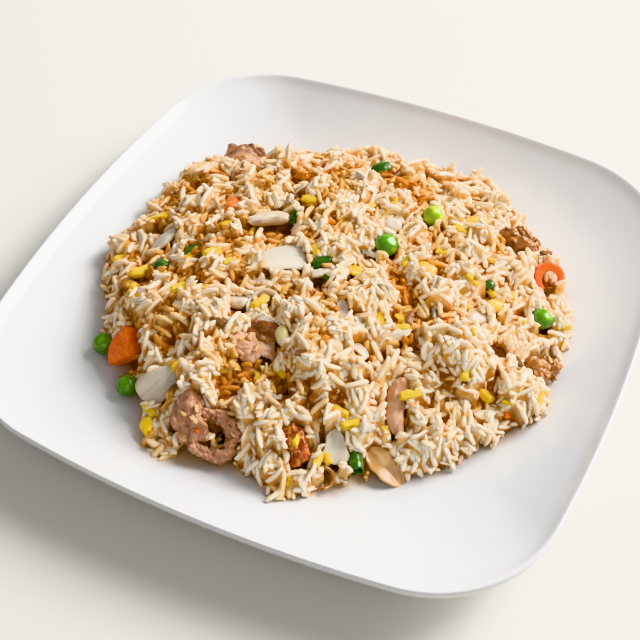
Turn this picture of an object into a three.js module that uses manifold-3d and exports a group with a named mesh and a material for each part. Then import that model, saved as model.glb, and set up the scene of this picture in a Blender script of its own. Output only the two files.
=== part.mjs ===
// Fried rice on a square coupe plate, in millimetres with +Z up.
// The origin is on the table, under the middle of the plate. The plate's sides run along X and Y.
import * as THREE from 'three';
import { mergeVertices } from 'three/addons/utils/BufferGeometryUtils.js';
import Module from 'manifold-3d';

const wasm = await Module();
wasm.setup();

// --- Driving dimensions ---------------------------------------------------------------------
const GAP = 0.3; // clearance between pieces that rest against each other

const PLATE = {
  halfSide: 120,
  sideBulge: 4.3, // how far the middle of a side stands out past its ends
  cornerRadius: 49.6,
  height: 24,
  floor: 6, // height of the flat well that the food lies on
  wellShare: 0.52, // share of the half side that is flat well
  riseCurve: 1.9, // 1 is a straight flare, more starts flatter
  wall: 5,
  columnsPerCorner: 8,
  columnsPerSide: 5,
};

const HEAP = {
  radius: 88,
  height: 30, // above the well
  domeCurve: 2.4, // flatness of the crown
  shoulder: 0.8, // steepness of the foot of the slope
  edgeHeight: 1.5, // height of the outermost grains
  cells: 53, // grid cells across
  edgeFade: 0.12, // share of the radius over which lumps die out
};

const BED = { margin: 2.8, clearance: 0.9 }; // of the hollow that a topping lies in

const GRAIN = { bump: 1.3, bumpVariation: 1.9, valley: 0.5, edgeJitter: 1.6, seed: 11 };

// Swells of the heap's outline: compass angle in degrees, extra radius, angular half width.
const OUTLINE_SWELLS = [
  [-168, 8, 20], [150, 12, 18], [128, 2, 8], [68, 7, 10], [38, 6, 14], [14, 5, 14],
  [-12, 7, 9], [-52, -5, 9], [-30, -3, 6], [-76, 6, 6], [-106, 12, 11], [-137, 3, 7],
];

// Clumps that stand up from the dome and hollows that sink into it: x, y, height, radius.
const CLUMPS = [
  [16, -44, 4.5, 14], [-22, -68, 6, 12], [-12, 45, 4, 13], [47, 37, 4, 13], [40, 78, 4.5, 10],
  [50, -19, 3.5, 13], [4, 66, 3, 10], [-72, 18, 3, 12], [-45, 19, 3, 10], [68, -20, 3.5, 10],
  [64, -50, 4, 10], [-72, -37, 4, 13], [-46, -53, 3, 11], [3, -72, 4, 10], [-84, 42, 4, 10],
  [85, 17, 3, 9], [25, -84, 3, 8], [33, -52, 3, 9], [-25, -10, 2.5, 14], [30, 10, 2, 14],
];
const HOLLOWS = [
  [24, 64, -7, 8], [-28, 30, -5, 7], [-60, 32, -5, 7], [72, -6, -5, 7], [79, -23, -4, 6],
  [8, -62, -6, 7], [-4, -51, -5, 6], [57, -48, -5, 7], [29, -31, -3.5, 6], [34, 41, -5, 7],
  [-61, -35, -4, 6], [-26, -24, -3, 5], [3, 44, -4, 6], [-20, 9, -3, 6],
];

const LOOKS = {
  porcelain: { color: '#f4f5f6', roughness: 0.12 },
  rice: { color: '#e6cfa4', roughness: 0.45 },
  pea: { color: '#4f9420', roughness: 0.25 },
  pea_pale: { color: '#a3c93a', roughness: 0.3 },
  carrot: { color: '#e8661a', roughness: 0.35 },
  scallion: { color: '#1f6428', roughness: 0.35 },
  onion: { color: '#e6dccb', roughness: 0.3 },
  onion_browned: { color: '#cda468', roughness: 0.35 },
  pork: { color: '#b98a6c', roughness: 0.5 },
  pork_browned: { color: '#8d4a22', roughness: 0.4 },
  egg: { color: '#f2bd22', roughness: 0.4 },
};

// Toppings. Each has its place on the heap, the lift of its middle above the bare surface, its
// length, width and thickness, and its turn about the slope's normal. Tilt raises its +X end.
// bend bows a piece downwards, hook bows it sideways, wave ripples it.
const TOPPINGS = [
  { name: 'pea_on_rim', shape: 'pea', look: 'pea', at: [-74.5, -60], lift: 4.65, size: [8.7, 8.7, 8.5] },
  { name: 'pea_at_foot', shape: 'pea', look: 'pea', at: [-53, -71.3], lift: 4.65, size: [8.8, 8.6, 8.6] },
  { name: 'pea_on_crown', shape: 'pea', look: 'pea', at: [16.4, 12.6], lift: 2.8, size: [8.9, 8.7, 8.6] },
  { name: 'pea_on_slope', shape: 'pea', look: 'pea', at: [80.4, 16.9], lift: 2.2, size: [8.6, 8.3, 8.4] },
  { name: 'pea_pale', shape: 'pea', look: 'pea_pale', at: [25.8, 37.4], lift: 2.2, size: [8.4, 6.8, 6.8],
    turn: 70 },

  { name: 'carrot_wedge', shape: 'lump', look: 'carrot', at: [-63.6, -62.4], lift: 4.7, size: [17, 9, 9.4],
    turn: 48, tilt: 12, square: 3.2, rough: 0.05, hook: -2.2 },
  { name: 'carrot_dice', shape: 'lump', look: 'carrot', at: [-51.2, 13], lift: 1.4, size: [10.5, 6, 6],
    turn: -62, tilt: 8, square: 3, rough: 0.05 },
  { name: 'carrot_curl', shape: 'arc', look: 'carrot', at: [78.5, 47.5], lift: 2.6, radius: 5, sweep: 190,
    band: 2.2, height: 3.2, turn: -20 },
  { name: 'carrot_chip', shape: 'lump', look: 'carrot', at: [-51.6, -13], lift: 1, size: [5, 4, 3.4],
    square: 3, rough: 0.1 },

  { name: 'scallion_ring_left', shape: 'sheet', look: 'scallion', at: [-58.2, -12.4], lift: 1.2,
    size: [6, 4.4, 1.1], turn: 27, tilt: 20, bend: 1.2 },
  { name: 'scallion_fold_left', shape: 'sheet', look: 'scallion', at: [-66.9, -22.9], lift: 1.4,
    size: [8, 5.4, 1.2], turn: -20, tilt: 10, bend: 1.4 },
  { name: 'scallion_tucked', shape: 'sheet', look: 'scallion', at: [-24.7, 13.9], lift: 0.8,
    size: [6, 4, 1.1], turn: 80, tilt: 35, bend: 0.8 },
  { name: 'scallion_wedge', shape: 'sheet', look: 'scallion', at: [-3.5, -5.4], lift: 1.6,
    size: [8, 4.2, 1.2], turn: 40, tilt: 6, bend: 1 },
  { name: 'scallion_white', shape: 'sheet', look: 'onion', at: [-0.6, -10.6], lift: 1.3,
    size: [8.6, 4, 1.4], turn: 33, bend: 0.6 },
  { name: 'scallion_back', shape: 'sheet', look: 'scallion', at: [-7.8, 63.8], lift: 1.8,
    size: [8, 4.6, 1.2], turn: 40, tilt: 8, bend: 1 },
  { name: 'scallion_right', shape: 'sheet', look: 'scallion', at: [57, 17.7], lift: 0.9,
    size: [5, 3.8, 1.1], turn: 10, tilt: 25, bend: 0.6 },
  { name: 'scallion_front', shape: 'sheet', look: 'scallion', at: [40.8, -71.2], lift: 2,
    size: [7.6, 5, 1.3], turn: -60, tilt: -35, bend: 0.8 },

  { name: 'onion_slab_crown', shape: 'sheet', look: 'onion', at: [-19, -7.6], lift: 1.4,
    size: [17, 12.4, 1.6], turn: 30, bend: 1, wave: 0.5 },
  { name: 'onion_slab_left', shape: 'sheet', look: 'onion', at: [-43.2, -69.2], lift: 1.9,
    size: [18, 10.4, 1.5], turn: 36, tilt: 14, bend: 0.9, wave: 0.4 },
  { name: 'onion_slab_back', shape: 'sheet', look: 'onion', at: [-37, 13.6], lift: 1.3,
    size: [14, 7, 1.5], turn: 24, bend: 1, wave: 0.4 },
  { name: 'onion_strip_left', shape: 'sheet', look: 'onion', at: [-73.9, -9.3], lift: 1.8,
    size: [15.5, 5, 1.7], turn: 64, bend: 1.4 },
  { name: 'onion_dice', shape: 'lump', look: 'onion', at: [12.8, 27.4], lift: 1.6, size: [6, 6, 5],
    turn: 20, square: 4, rough: 0.04 },
  { name: 'onion_hoop', shape: 'arc', look: 'onion', at: [-14.6, -32.4], lift: 0.6, radius: 6.4, sweep: 215,
    band: 1.5, height: 4, turn: -10 },
  { name: 'onion_tongue', shape: 'sheet', look: 'onion', at: [-10.9, -39.4], lift: 1.4,
    size: [9, 5, 1.4], turn: 16, bend: 1.3 },
  { name: 'onion_curl', shape: 'lump', look: 'onion', at: [-25.4, -33.6], lift: 1.4, size: [7.4, 6, 4],
    turn: 15, square: 2.4, rough: 0.12 },
  { name: 'onion_petal_centre', shape: 'sheet', look: 'onion', at: [14, -23.6], lift: 1.2,
    size: [11, 4.6, 1.4], turn: -58, bend: 0.8 },
  { name: 'onion_petal_front', shape: 'sheet', look: 'onion', at: [25.8, -35.6], lift: 1.2,
    size: [9.6, 5.6, 1.4], turn: -32, tilt: 10, bend: 1 },
  { name: 'onion_petal_right', shape: 'sheet', look: 'onion', at: [36.8, -24.1], lift: 1.3,
    size: [10.4, 5, 1.4], turn: 50, bend: 1 },
  { name: 'onion_knob', shape: 'lump', look: 'onion', at: [59.1, 0.4], lift: 1, size: [8.4, 7.4, 5],
    turn: 50, square: 2.6, rough: 0.06 },
  { name: 'onion_slab_front', shape: 'sheet', look: 'onion', at: [32.4, -68.8], lift: 1.5,
    size: [12, 7, 1.4], turn: -56, bend: 0.8 },
  { name: 'onion_leaf_foot', shape: 'sheet', look: 'onion_browned', at: [50.4, -66.2], lift: 2.5,
    size: [15.4, 10, 1.4], turn: -24, tilt: -8, bend: 1.4, wave: 0.5 },
  { name: 'onion_hoop_browned', shape: 'arc', look: 'onion_browned', at: [32.7, -83.4], lift: 2.2, radius: 3.4,
    sweep: 250, band: 1.4, height: 3, turn: 120 },

  { name: 'pork_back', shape: 'lump', look: 'pork', at: [-70, 57], lift: 2.6, size: [19, 12, 10], detail: 2,
    turn: 28, rough: 0.16, bend: 1.5 },
  { name: 'pork_centre', shape: 'lump', look: 'pork', at: [-11.8, -49.2], lift: 1.9, size: [14.6, 8.4, 5.4],
    turn: 24, rough: 0.14, bend: 1 },
  { name: 'pork_centre_dark', shape: 'lump', look: 'pork_browned', at: [-10, -42.2], lift: 0.8,
    size: [9, 5, 4.6], turn: 20, rough: 0.14 },
  { name: 'pork_front_left', shape: 'lump', look: 'pork', at: [-23.8, -83.6], lift: 2.8, size: [27, 12.6, 9],
    detail: 2, turn: -76, tilt: -8, rough: 0.15, hook: 1.6 },
  { name: 'pork_front_curl', shape: 'lump', look: 'pork', at: [-7, -84.8], lift: 2.6, size: [23, 12, 8.4],
    detail: 2, turn: 44, rough: 0.15, hook: -3 },
  { name: 'pork_strip', shape: 'lump', look: 'pork', at: [45.7, -46.8], lift: 1.4, size: [21, 7.4, 6],
    detail: 2, turn: -69, square: 2.5, rough: 0.08, hook: 0.8 },
  { name: 'pork_right_back', shape: 'lump', look: 'pork_browned', at: [58.6, 57.4], lift: 2, size: [13, 10, 8],
    turn: -20, rough: 0.16 },
  { name: 'pork_right', shape: 'lump', look: 'pork_browned', at: [86.6, -1.4], lift: 1.8, size: [12.6, 8.6, 7],
    turn: 36, rough: 0.16 },
  { name: 'pork_tucked', shape: 'lump', look: 'pork_browned', at: [71.4, -5.4], lift: 0.8,
    size: [7, 6, 5], rough: 0.14 },
  { name: 'charred_bit', shape: 'lump', look: 'pork_browned', at: [19.8, -75.9], lift: 1.4,
    size: [11.6, 9, 5.4], turn: -40, rough: 0.18 },

  { name: 'egg_strip_left', shape: 'sheet', look: 'egg', at: [-84.6, 5.2], lift: 1.6, size: [12, 3.8, 1.6],
    turn: 8, bend: 0.8 },
  { name: 'egg_strip_back', shape: 'sheet', look: 'egg', at: [-49.7, 2.6], lift: 1.4, size: [9.6, 3.6, 1.5],
    turn: -22, tilt: 8, bend: 0.8 },
  { name: 'egg_strip_right', shape: 'sheet', look: 'egg', at: [39.8, 52.7], lift: 1.6, size: [10, 4, 1.8],
    turn: 40, bend: 0.8 },
  { name: 'egg_dice', shape: 'lump', look: 'egg', at: [62.6, 10.6], lift: 1.4, size: [7.6, 4.8, 4.4],
    turn: 30, square: 4, rough: 0.05 },
  { name: 'egg_dice_pale', shape: 'lump', look: 'egg', at: [-2.4, -41.4], lift: 1.4, size: [6.4, 5.8, 4.6],
    turn: 30, square: 3.4, rough: 0.06 },
  { name: 'egg_fold_crown', shape: 'sheet', look: 'egg', at: [34.9, 9], lift: 1.4, size: [7.6, 4.6, 1.6],
    turn: 10, bend: 0.8 },
  { name: 'egg_fold_centre', shape: 'sheet', look: 'egg', at: [10.5, -3.9], lift: 1.2, size: [6.6, 5, 1.6],
    turn: -10, bend: 0.8 },
  { name: 'egg_shred_centre', shape: 'sheet', look: 'egg', at: [28.6, -21.4], lift: 1.2,
    size: [7.4, 2.6, 1.4], turn: -48, bend: 0.5 },
  { name: 'egg_scrap_foot', shape: 'sheet', look: 'egg', at: [-35.4, -87.6], lift: 1.8, size: [8, 4.4, 1.6],
    turn: -56, bend: 0.8 },
];

// --- Small tools ----------------------------------------------------------------------------
const radians = THREE.MathUtils.degToRad;
const clamp01 = (t) => THREE.MathUtils.clamp(t, 0, 1);

/** A seeded generator of numbers from 0 to 1. */
function seededRandom(seed) {
  let state = seed >>> 0;
  return () => {
    state = (state + 0x6d2b79f5) >>> 0;
    let t = Math.imul(state ^ (state >>> 15), state | 1);
    t ^= t + Math.imul(t ^ (t >>> 7), t | 61);
    return ((t ^ (t >>> 14)) >>> 0) / 4294967296;
  };
}

function geometryOf(points, triangles) {
  const geometry = new THREE.BufferGeometry();
  geometry.setAttribute('position', new THREE.Float32BufferAttribute(points.flat(), 3));
  geometry.setIndex(triangles.flat());
  return geometry;
}

function toSolid(geometry) {
  return new wasm.Manifold(new wasm.Mesh({
    numProp: 3,
    vertProperties: new Float32Array(geometry.attributes.position.array),
    triVerts: new Uint32Array(geometry.index.array),
  }));
}

function toGeometry(solid) {
  const mesh = solid.getMesh();
  const geometry = new THREE.BufferGeometry();
  geometry.setAttribute('position', new THREE.BufferAttribute(new Float32Array(mesh.vertProperties), 3));
  geometry.setIndex(new THREE.BufferAttribute(new Uint32Array(mesh.triVerts), 1));
  return geometry;
}

/** The largest piece of a solid that a cut may have left in scraps. */
function largestPiece(solid) {
  return solid.decompose().reduce((best, piece) => (piece.volume() > best.volume() ? piece : best));
}

// --- Plate ----------------------------------------------------------------------------------
/** The arcs of one eighth of the plate's outline, from the middle of a side to a corner. */
function outlineArcs({ halfSide, sideBulge, cornerRadius }) {
  const halfChord = halfSide - cornerRadius;
  const sideRadius = (halfChord ** 2 + sideBulge ** 2) / (2 * sideBulge);
  const sideCentre = halfSide - sideRadius;
  const reach = sideRadius - cornerRadius;
  const cornerCentre = (sideCentre + Math.sqrt(2 * reach ** 2 - sideCentre ** 2)) / 2;
  const joint = Math.atan2(cornerCentre, cornerCentre - sideCentre);
  return { sideRadius, sideCentre, cornerCentre, joint };
}

const ARCS = outlineArcs(PLATE);

/** Distance from the plate's middle to its outline in a direction. */
function plateRadius(angle) {
  const quarter = Math.PI / 2;
  const fromSide = Math.abs(angle - quarter * Math.round(angle / quarter));
  const [dx, dy] = [Math.cos(fromSide), Math.sin(fromSide)];
  const rayTo = (cx, cy, radius) => {
    const along = dx * cx + dy * cy;
    return along + Math.sqrt(along ** 2 - cx ** 2 - cy ** 2 + radius ** 2);
  };
  const onSide = rayTo(ARCS.sideCentre, 0, ARCS.sideRadius);
  const turn = Math.atan2(dy * onSide, dx * onSide - ARCS.sideCentre);
  return turn <= ARCS.joint ? onSide : rayTo(ARCS.cornerCentre, ARCS.cornerCentre, PLATE.cornerRadius);
}

/** Height of the plate's upper face at a share of the way from its middle to its edge. */
function plateFace(share) {
  const rise = clamp01((share - PLATE.wellShare) / (1 - PLATE.wellShare));
  return PLATE.floor + (PLATE.height - PLATE.floor) * rise ** PLATE.riseCurve;
}

function plateHeight(x, y) {
  return plateFace(Math.hypot(x, y) / plateRadius(Math.atan2(y, x)));
}

/** Directions of the plate's columns, closer together round its corners. */
function plateColumns() {
  const cornerStart = 0.6 * (Math.PI / 4);
  const angles = [];
  for (let quarter = 0; quarter < 4; quarter++) {
    const side = quarter * (Math.PI / 2);
    for (let i = 0; i < PLATE.columnsPerSide; i++) {
      angles.push(side - cornerStart + (2 * cornerStart * i) / PLATE.columnsPerSide);
    }
    for (let i = 0; i < PLATE.columnsPerCorner; i++) {
      const corner = Math.PI / 2 - 2 * cornerStart;
      angles.push(side + cornerStart + (corner * i) / PLATE.columnsPerCorner);
    }
  }
  return angles;
}

/** A closed solid whose rings follow the plate's outline. The profile runs from the axis outwards and back. */
function squareTurned(profile) {
  const angles = plateColumns();
  const rings = profile.slice(1, -1);
  const points = [[0, 0, profile[0][1]], [0, 0, profile.at(-1)[1]]];
  for (const [share, z] of rings) {
    for (const angle of angles) {
      const radius = share * plateRadius(angle);
      points.push([radius * Math.cos(angle), radius * Math.sin(angle), z]);
    }
  }
  const columns = angles.length;
  const at = (ring, column) => 2 + ring * columns + (column % columns);
  const triangles = [];
  for (let c = 0; c < columns; c++) {
    triangles.push([0, at(0, c), at(0, c + 1)]);
    for (let r = 0; r + 1 < rings.length; r++) {
      triangles.push([at(r, c), at(r + 1, c), at(r, c + 1)]);
      triangles.push([at(r, c + 1), at(r + 1, c), at(r + 1, c + 1)]);
    }
    triangles.push([1, at(rings.length - 1, c + 1), at(rings.length - 1, c)]);
  }
  return geometryOf(points, triangles);
}

const FACE_SHARES = [PLATE.wellShare, 0.6, 0.68, 0.76, 0.84, 0.91, 0.96];

function plateGeometry() {
  const { floor, wall, height, wellShare } = PLATE;
  const upper = FACE_SHARES.map((share) => [share, plateFace(share)]);
  const lip = [[0.982, height], [1, height - 2], [0.993, height - 4]];
  const under = [0.93, 0.84, 0.74, 0.64].map((share) => [share - 0.01, plateFace(share) - wall]);
  const foot = [[wellShare + 0.045, 0], [wellShare + 0.01, 0], [wellShare - 0.005, 2]];
  return squareTurned([[0, floor], ...upper, ...lip, ...under, ...foot, [0, 2]]);
}

/** Everything that is lower than a small gap above the plate's upper face. */
function underPlateFace() {
  const upper = FACE_SHARES.map((share) => [share, plateFace(share) + GAP]);
  const depth = -8;
  return squareTurned([[0, PLATE.floor + GAP], ...upper, [1.05, PLATE.height + GAP], [1.05, depth], [0, depth]]);
}

// --- Heap of rice ---------------------------------------------------------------------------
function heapRadius(angle) {
  const degrees = THREE.MathUtils.radToDeg(angle);
  return OUTLINE_SWELLS.reduce((radius, [at, swell, width]) => {
    const away = THREE.MathUtils.euclideanModulo(degrees - at + 180, 360) - 180;
    return radius + swell * Math.exp(-((away / width) ** 2));
  }, HEAP.radius);
}

/** Height of the bare surface that the toppings lie on: the dome with its clumps, or the plate. */
function surfaceHeight(x, y) {
  const share = Math.min(1, Math.hypot(x, y) / heapRadius(Math.atan2(y, x)));
  const bed = plateHeight(x, y);
  const dome = HEAP.height * (1 - share ** HEAP.domeCurve) ** HEAP.shoulder;
  const fade = clamp01((1 - share) / HEAP.edgeFade);
  const lumps = [...CLUMPS, ...HOLLOWS].reduce(
    (sum, [cx, cy, height, radius]) =>
      sum + height * Math.exp(-((x - cx) ** 2 + (y - cy) ** 2) / radius ** 2), 0);
  const onWell = bed - (bed - PLATE.floor) * (1 - share ** 4);
  return Math.max(bed, onWell + dome + fade * lumps);
}

/** Grid of grain bumps: ridges three points long, laid in random directions without crossing. */
function grainBumps(cells) {
  const random = seededRandom(GRAIN.seed);
  const side = cells + 1;
  const bumps = new Float64Array(side * side).fill(-GRAIN.valley);
  const owner = new Int32Array(side * side).fill(-1);
  const order = [...owner.keys()];
  for (let i = order.length - 1; i > 0; i--) {
    const j = Math.floor(random() * (i + 1));
    [order[i], order[j]] = [order[j], order[i]];
  }
  const directions = [[1, 0], [0, 1], [1, 1], [1, -1]];
  for (const middle of order) {
    const [di, dj] = directions[Math.floor(random() * directions.length)];
    const [i, j] = [middle % side, Math.floor(middle / side)];
    const ridge = [-1, 0, 1].map((step) => [i + step * di, j + step * dj]);
    if (ridge.some(([a, b]) => a < 1 || b < 1 || a >= cells || b >= cells)) continue;
    const points = ridge.map(([a, b]) => b * side + a);
    if (points.some((point) => owner[point] >= 0)) continue;
    const lift = GRAIN.bump + GRAIN.bumpVariation * random();
    points.forEach((point, k) => {
      owner[point] = middle;
      bumps[point] = k === 1 ? lift : 0.8 * lift;
    });
  }
  return { bumps, owner };
}

/** Presses a point of the heap's surface down to just under the toppings that lie over it. */
function pressUnderToppings(point, beds) {
  for (const { half, bow, round, matrix, inverse } of beds) {
    const local = point.clone().applyMatrix4(inverse);
    const [u, v] = [local.x / (half[0] + BED.margin), local.y / (half[1] + BED.margin)];
    const share = round ? u * u + v * v : Math.max(u * u, v * v);
    if (share >= 1) continue;
    const underside = round ? half[2] * Math.sqrt(1 - share) : half[2] + bow;
    if (local.z > -underside - BED.clearance) {
      local.z = -underside - BED.clearance;
      point.copy(local.applyMatrix4(matrix));
    }
  }
}

/** What pressUnderToppings needs of each topping. */
function toppingBeds() {
  return TOPPINGS.map((topping) => {
    const matrix = toppingMatrix(topping);
    const reach = topping.radius + topping.band;
    const size = topping.size ?? [2 * reach, 2 * reach, topping.height];
    const { bend = 0, wave = 0, hook = 0, rough = 0, square = 2 } = topping;
    const half = size.map((length) => (length / 2) * (1 + rough));
    half[1] += Math.abs(hook);
    const bow = topping.shape === 'sheet' ? bend / 2 + wave : 0;
    const round = topping.shape !== 'sheet' && square < 2.5;
    return { half, bow, round, matrix, inverse: matrix.clone().invert() };
  });
}

/** The heap's upper surface over a flat base, before the plate and the toppings are cut from it. */
function heapBody() {
  const { cells, edgeHeight } = HEAP;
  const beds = toppingBeds();
  const side = cells + 1;
  const random = seededRandom(GRAIN.seed + 1);
  const { bumps, owner } = grainBumps(cells);
  const points = [];
  for (let j = 0; j < side; j++) {
    for (let i = 0; i < side; i++) {
      const [u, v] = [(2 * i) / cells - 1, (2 * j) / cells - 1];
      const [x, y] = [u * Math.sqrt(1 - (v * v) / 2), v * Math.sqrt(1 - (u * u) / 2)];
      const onEdge = i === 0 || j === 0 || i === cells || j === cells;
      const angle = Math.atan2(y, x);
      const jitter = onEdge ? GRAIN.edgeJitter * (2 * random() - 1) : 0;
      const radius = Math.hypot(x, y) * heapRadius(angle) + jitter;
      const [px, py] = [radius * Math.cos(angle), radius * Math.sin(angle)];
      const z = onEdge ? plateHeight(px, py) + edgeHeight : surfaceHeight(px, py) + bumps[j * side + i];
      const point = new THREE.Vector3(px, py, z);
      if (!onEdge) pressUnderToppings(point, beds);
      points.push(point.toArray());
    }
  }
  const triangles = [];
  for (let j = 0; j < cells; j++) {
    for (let i = 0; i < cells; i++) {
      const [a, b, c, d] = [j * side + i, j * side + i + 1, (j + 1) * side + i + 1, (j + 1) * side + i];
      const joined = (p, q) => owner[p] >= 0 && owner[p] === owner[q];
      const ridgeAC = joined(a, c) || (!joined(b, d) && points[a][2] + points[c][2] > points[b][2] + points[d][2]);
      triangles.push(...(ridgeAC ? [[a, b, c], [a, c, d]] : [[a, b, d], [b, c, d]]));
    }
  }
  closeWithFlatBase(points, triangles, cells);
  return geometryOf(points, triangles);
}

/** Adds a skirt and a flat base under the border of a square grid of points. */
function closeWithFlatBase(points, triangles, cells) {
  const side = cells + 1;
  const border = [];
  for (let i = 0; i < cells; i++) border.push(i);
  for (let j = 0; j < cells; j++) border.push(j * side + cells);
  for (let i = cells; i > 0; i--) border.push(cells * side + i);
  for (let j = cells; j > 0; j--) border.push(j * side);
  const baseZ = -4;
  const first = points.length;
  for (const point of border) points.push([points[point][0], points[point][1], baseZ]);
  const centre = points.push([0, 0, baseZ]) - 1;
  border.forEach((point, k) => {
    const next = (k + 1) % border.length;
    triangles.push([point, first + k, border[next]]);
    triangles.push([border[next], first + k, first + next]);
    triangles.push([centre, first + next, first + k]);
  });
}

// --- Toppings -------------------------------------------------------------------------------
/** A ball of triangles pulled to a rounded block, roughened and bent. */
function lumpGeometry({ size, square = 2, rough = 0, bend = 0, hook = 0, detail = 1, name }, grow) {
  const ball = new THREE.IcosahedronGeometry(1, detail);
  ball.deleteAttribute('normal');
  ball.deleteAttribute('uv');
  const geometry = mergeVertices(ball);
  const position = geometry.attributes.position;
  const phase = name.length + size[0];
  const p = new THREE.Vector3();
  for (let i = 0; i < position.count; i++) {
    p.fromBufferAttribute(position, i).normalize();
    const norm = (Math.abs(p.x) ** square + Math.abs(p.y) ** square + Math.abs(p.z) ** square) ** (1 / square);
    const ripple = Math.sin(4.1 * p.x + phase) * Math.cos(5.3 * p.y - phase) + 0.7 * Math.sin(7 * p.z + 3 * p.y);
    p.multiplyScalar((1 + rough * ripple) / norm);
    const along = p.x;
    p.set(p.x * (size[0] / 2 + grow), p.y * (size[1] / 2 + grow), p.z * (size[2] / 2 + grow));
    p.z -= bend * along ** 2;
    p.y += hook * along ** 2;
    position.setXYZ(i, p.x, p.y, p.z);
  }
  return geometry;
}

/** A thin bowed leaf. Both faces are split into the same triangles. */
function sheetGeometry({ size, bend = 0, wave = 0 }, grow) {
  const [steps, rows] = [4, 2];
  const points = [];
  for (const face of [1, -1]) {
    for (let r = 0; r <= rows; r++) {
      for (let s = 0; s <= steps; s++) {
        const [u, v] = [(2 * s) / steps - 1, (2 * r) / rows - 1];
        const x = u * (size[0] / 2 + grow) * (1 - 0.08 * v * v);
        const y = v * (size[1] / 2 + grow) * (1 - 0.22 * u * u + 0.08 * u);
        const bow = bend * (u * u - 0.5) + wave * Math.sin(3 * u + 1) * v;
        points.push([x, y, face * (size[2] / 2 + grow) - bow]);
      }
    }
  }
  const count = (steps + 1) * (rows + 1);
  const at = (r, s) => r * (steps + 1) + s;
  const triangles = [];
  for (let r = 0; r < rows; r++) {
    for (let s = 0; s < steps; s++) {
      const [a, b, c, d] = [at(r, s), at(r, s + 1), at(r + 1, s + 1), at(r + 1, s)];
      triangles.push([a, b, c], [a, c, d], [count + a, count + c, count + b], [count + a, count + d, count + c]);
    }
  }
  const border = [];
  for (let s = 0; s < steps; s++) border.push(at(0, s));
  for (let r = 0; r < rows; r++) border.push(at(r, steps));
  for (let s = steps; s > 0; s--) border.push(at(rows, s));
  for (let r = rows; r > 0; r--) border.push(at(r, 0));
  border.forEach((a, k) => {
    const b = border[(k + 1) % border.length];
    triangles.push([a, count + a, b], [b, count + a, count + b]);
  });
  return geometryOf(points, triangles);
}

/** A band standing on edge, curled round an open arc. */
function arcGeometry({ radius, sweep, band, height }, grow) {
  const steps = 9;
  const half = radians(sweep / 2) + grow / radius;
  const points = [];
  for (let s = 0; s <= steps; s++) {
    const angle = -half + (2 * half * s) / steps;
    for (const [out, up] of [[-1, -1], [1, -1], [1, 1], [-1, 1]]) {
      const r = radius + out * (band / 2 + grow);
      points.push([r * Math.cos(angle), r * Math.sin(angle), up * (height / 2 + grow)]);
    }
  }
  const triangles = [[0, 1, 2], [0, 2, 3]];
  for (let s = 0; s < steps; s++) {
    for (let k = 0; k < 4; k++) {
      const [a, b] = [4 * s + k, 4 * s + ((k + 1) % 4)];
      triangles.push([a, a + 4, b], [b, a + 4, b + 4]);
    }
  }
  const last = 4 * steps;
  triangles.push([last, last + 2, last + 1], [last, last + 3, last + 2]);
  return geometryOf(points, triangles);
}

const SHAPES = { pea: lumpGeometry, lump: lumpGeometry, sheet: sheetGeometry, arc: arcGeometry };

/** Where a topping lies: on the bare surface, leaning with its slope. */
function toppingMatrix({ at: [x, y], lift, turn = 0, tilt = 0 }) {
  const reach = 3;
  const slopeX = (surfaceHeight(x + reach, y) - surfaceHeight(x - reach, y)) / (2 * reach);
  const slopeY = (surfaceHeight(x, y + reach) - surfaceHeight(x, y - reach)) / (2 * reach);
  const normal = new THREE.Vector3(-slopeX, -slopeY, 1).normalize();
  const lean = new THREE.Quaternion().setFromUnitVectors(new THREE.Vector3(0, 0, 1), normal);
  const spin = new THREE.Quaternion().setFromEuler(new THREE.Euler(0, radians(-tilt), radians(turn), 'ZYX'));
  const place = new THREE.Vector3(x, y, surfaceHeight(x, y)).addScaledVector(normal, lift);
  return new THREE.Matrix4().compose(place, lean.multiply(spin), new THREE.Vector3(1, 1, 1));
}

/** A topping's solid where it lies. grow thickens it all round, to cut its bed from a neighbour. */
function toppingSolid(topping, grow = 0) {
  const geometry = SHAPES[topping.shape](topping, grow).applyMatrix4(toppingMatrix(topping));
  return toSolid(geometry);
}

// --- Assembly -------------------------------------------------------------------------------
function namedMesh(name, geometry, look) {
  const material = new THREE.MeshStandardMaterial({ ...LOOKS[look], metalness: 0 });
  const mesh = new THREE.Mesh(geometry, material);
  mesh.name = name;
  return mesh;
}

const plate = new THREE.Group();
plate.add(namedMesh('plate', plateGeometry(), 'porcelain'));

const bed = toSolid(underPlateFace());
const toppings = new THREE.Group();
let taken = bed;
for (const topping of TOPPINGS) {
  const solid = largestPiece(toppingSolid(topping).subtract(taken));
  toppings.add(namedMesh(topping.name, toGeometry(solid), topping.look));
  taken = taken.add(toppingSolid(topping, GAP));
}

const heap = largestPiece(toSolid(heapBody()).subtract(taken));

const dish = new THREE.Group();
dish.add(plate, namedMesh('rice_heap', toGeometry(heap), 'rice'), toppings);

export default dish;
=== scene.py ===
"""Fried rice on a square coupe plate, dressed over its CAD frame, in metres with +Z up.

The plate is turned from its profile, each topping is modelled one by one and laid where its solid
lies, and the heap is filled grain by grain: every grain drops on what already lies there.
"""
import logging
import math
from dataclasses import dataclass, field
from enum import Enum
from typing import ClassVar, Sequence

import bpy
import numpy as np
from mathutils import Matrix, Vector
from mathutils.bvhtree import BVHTree


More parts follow.
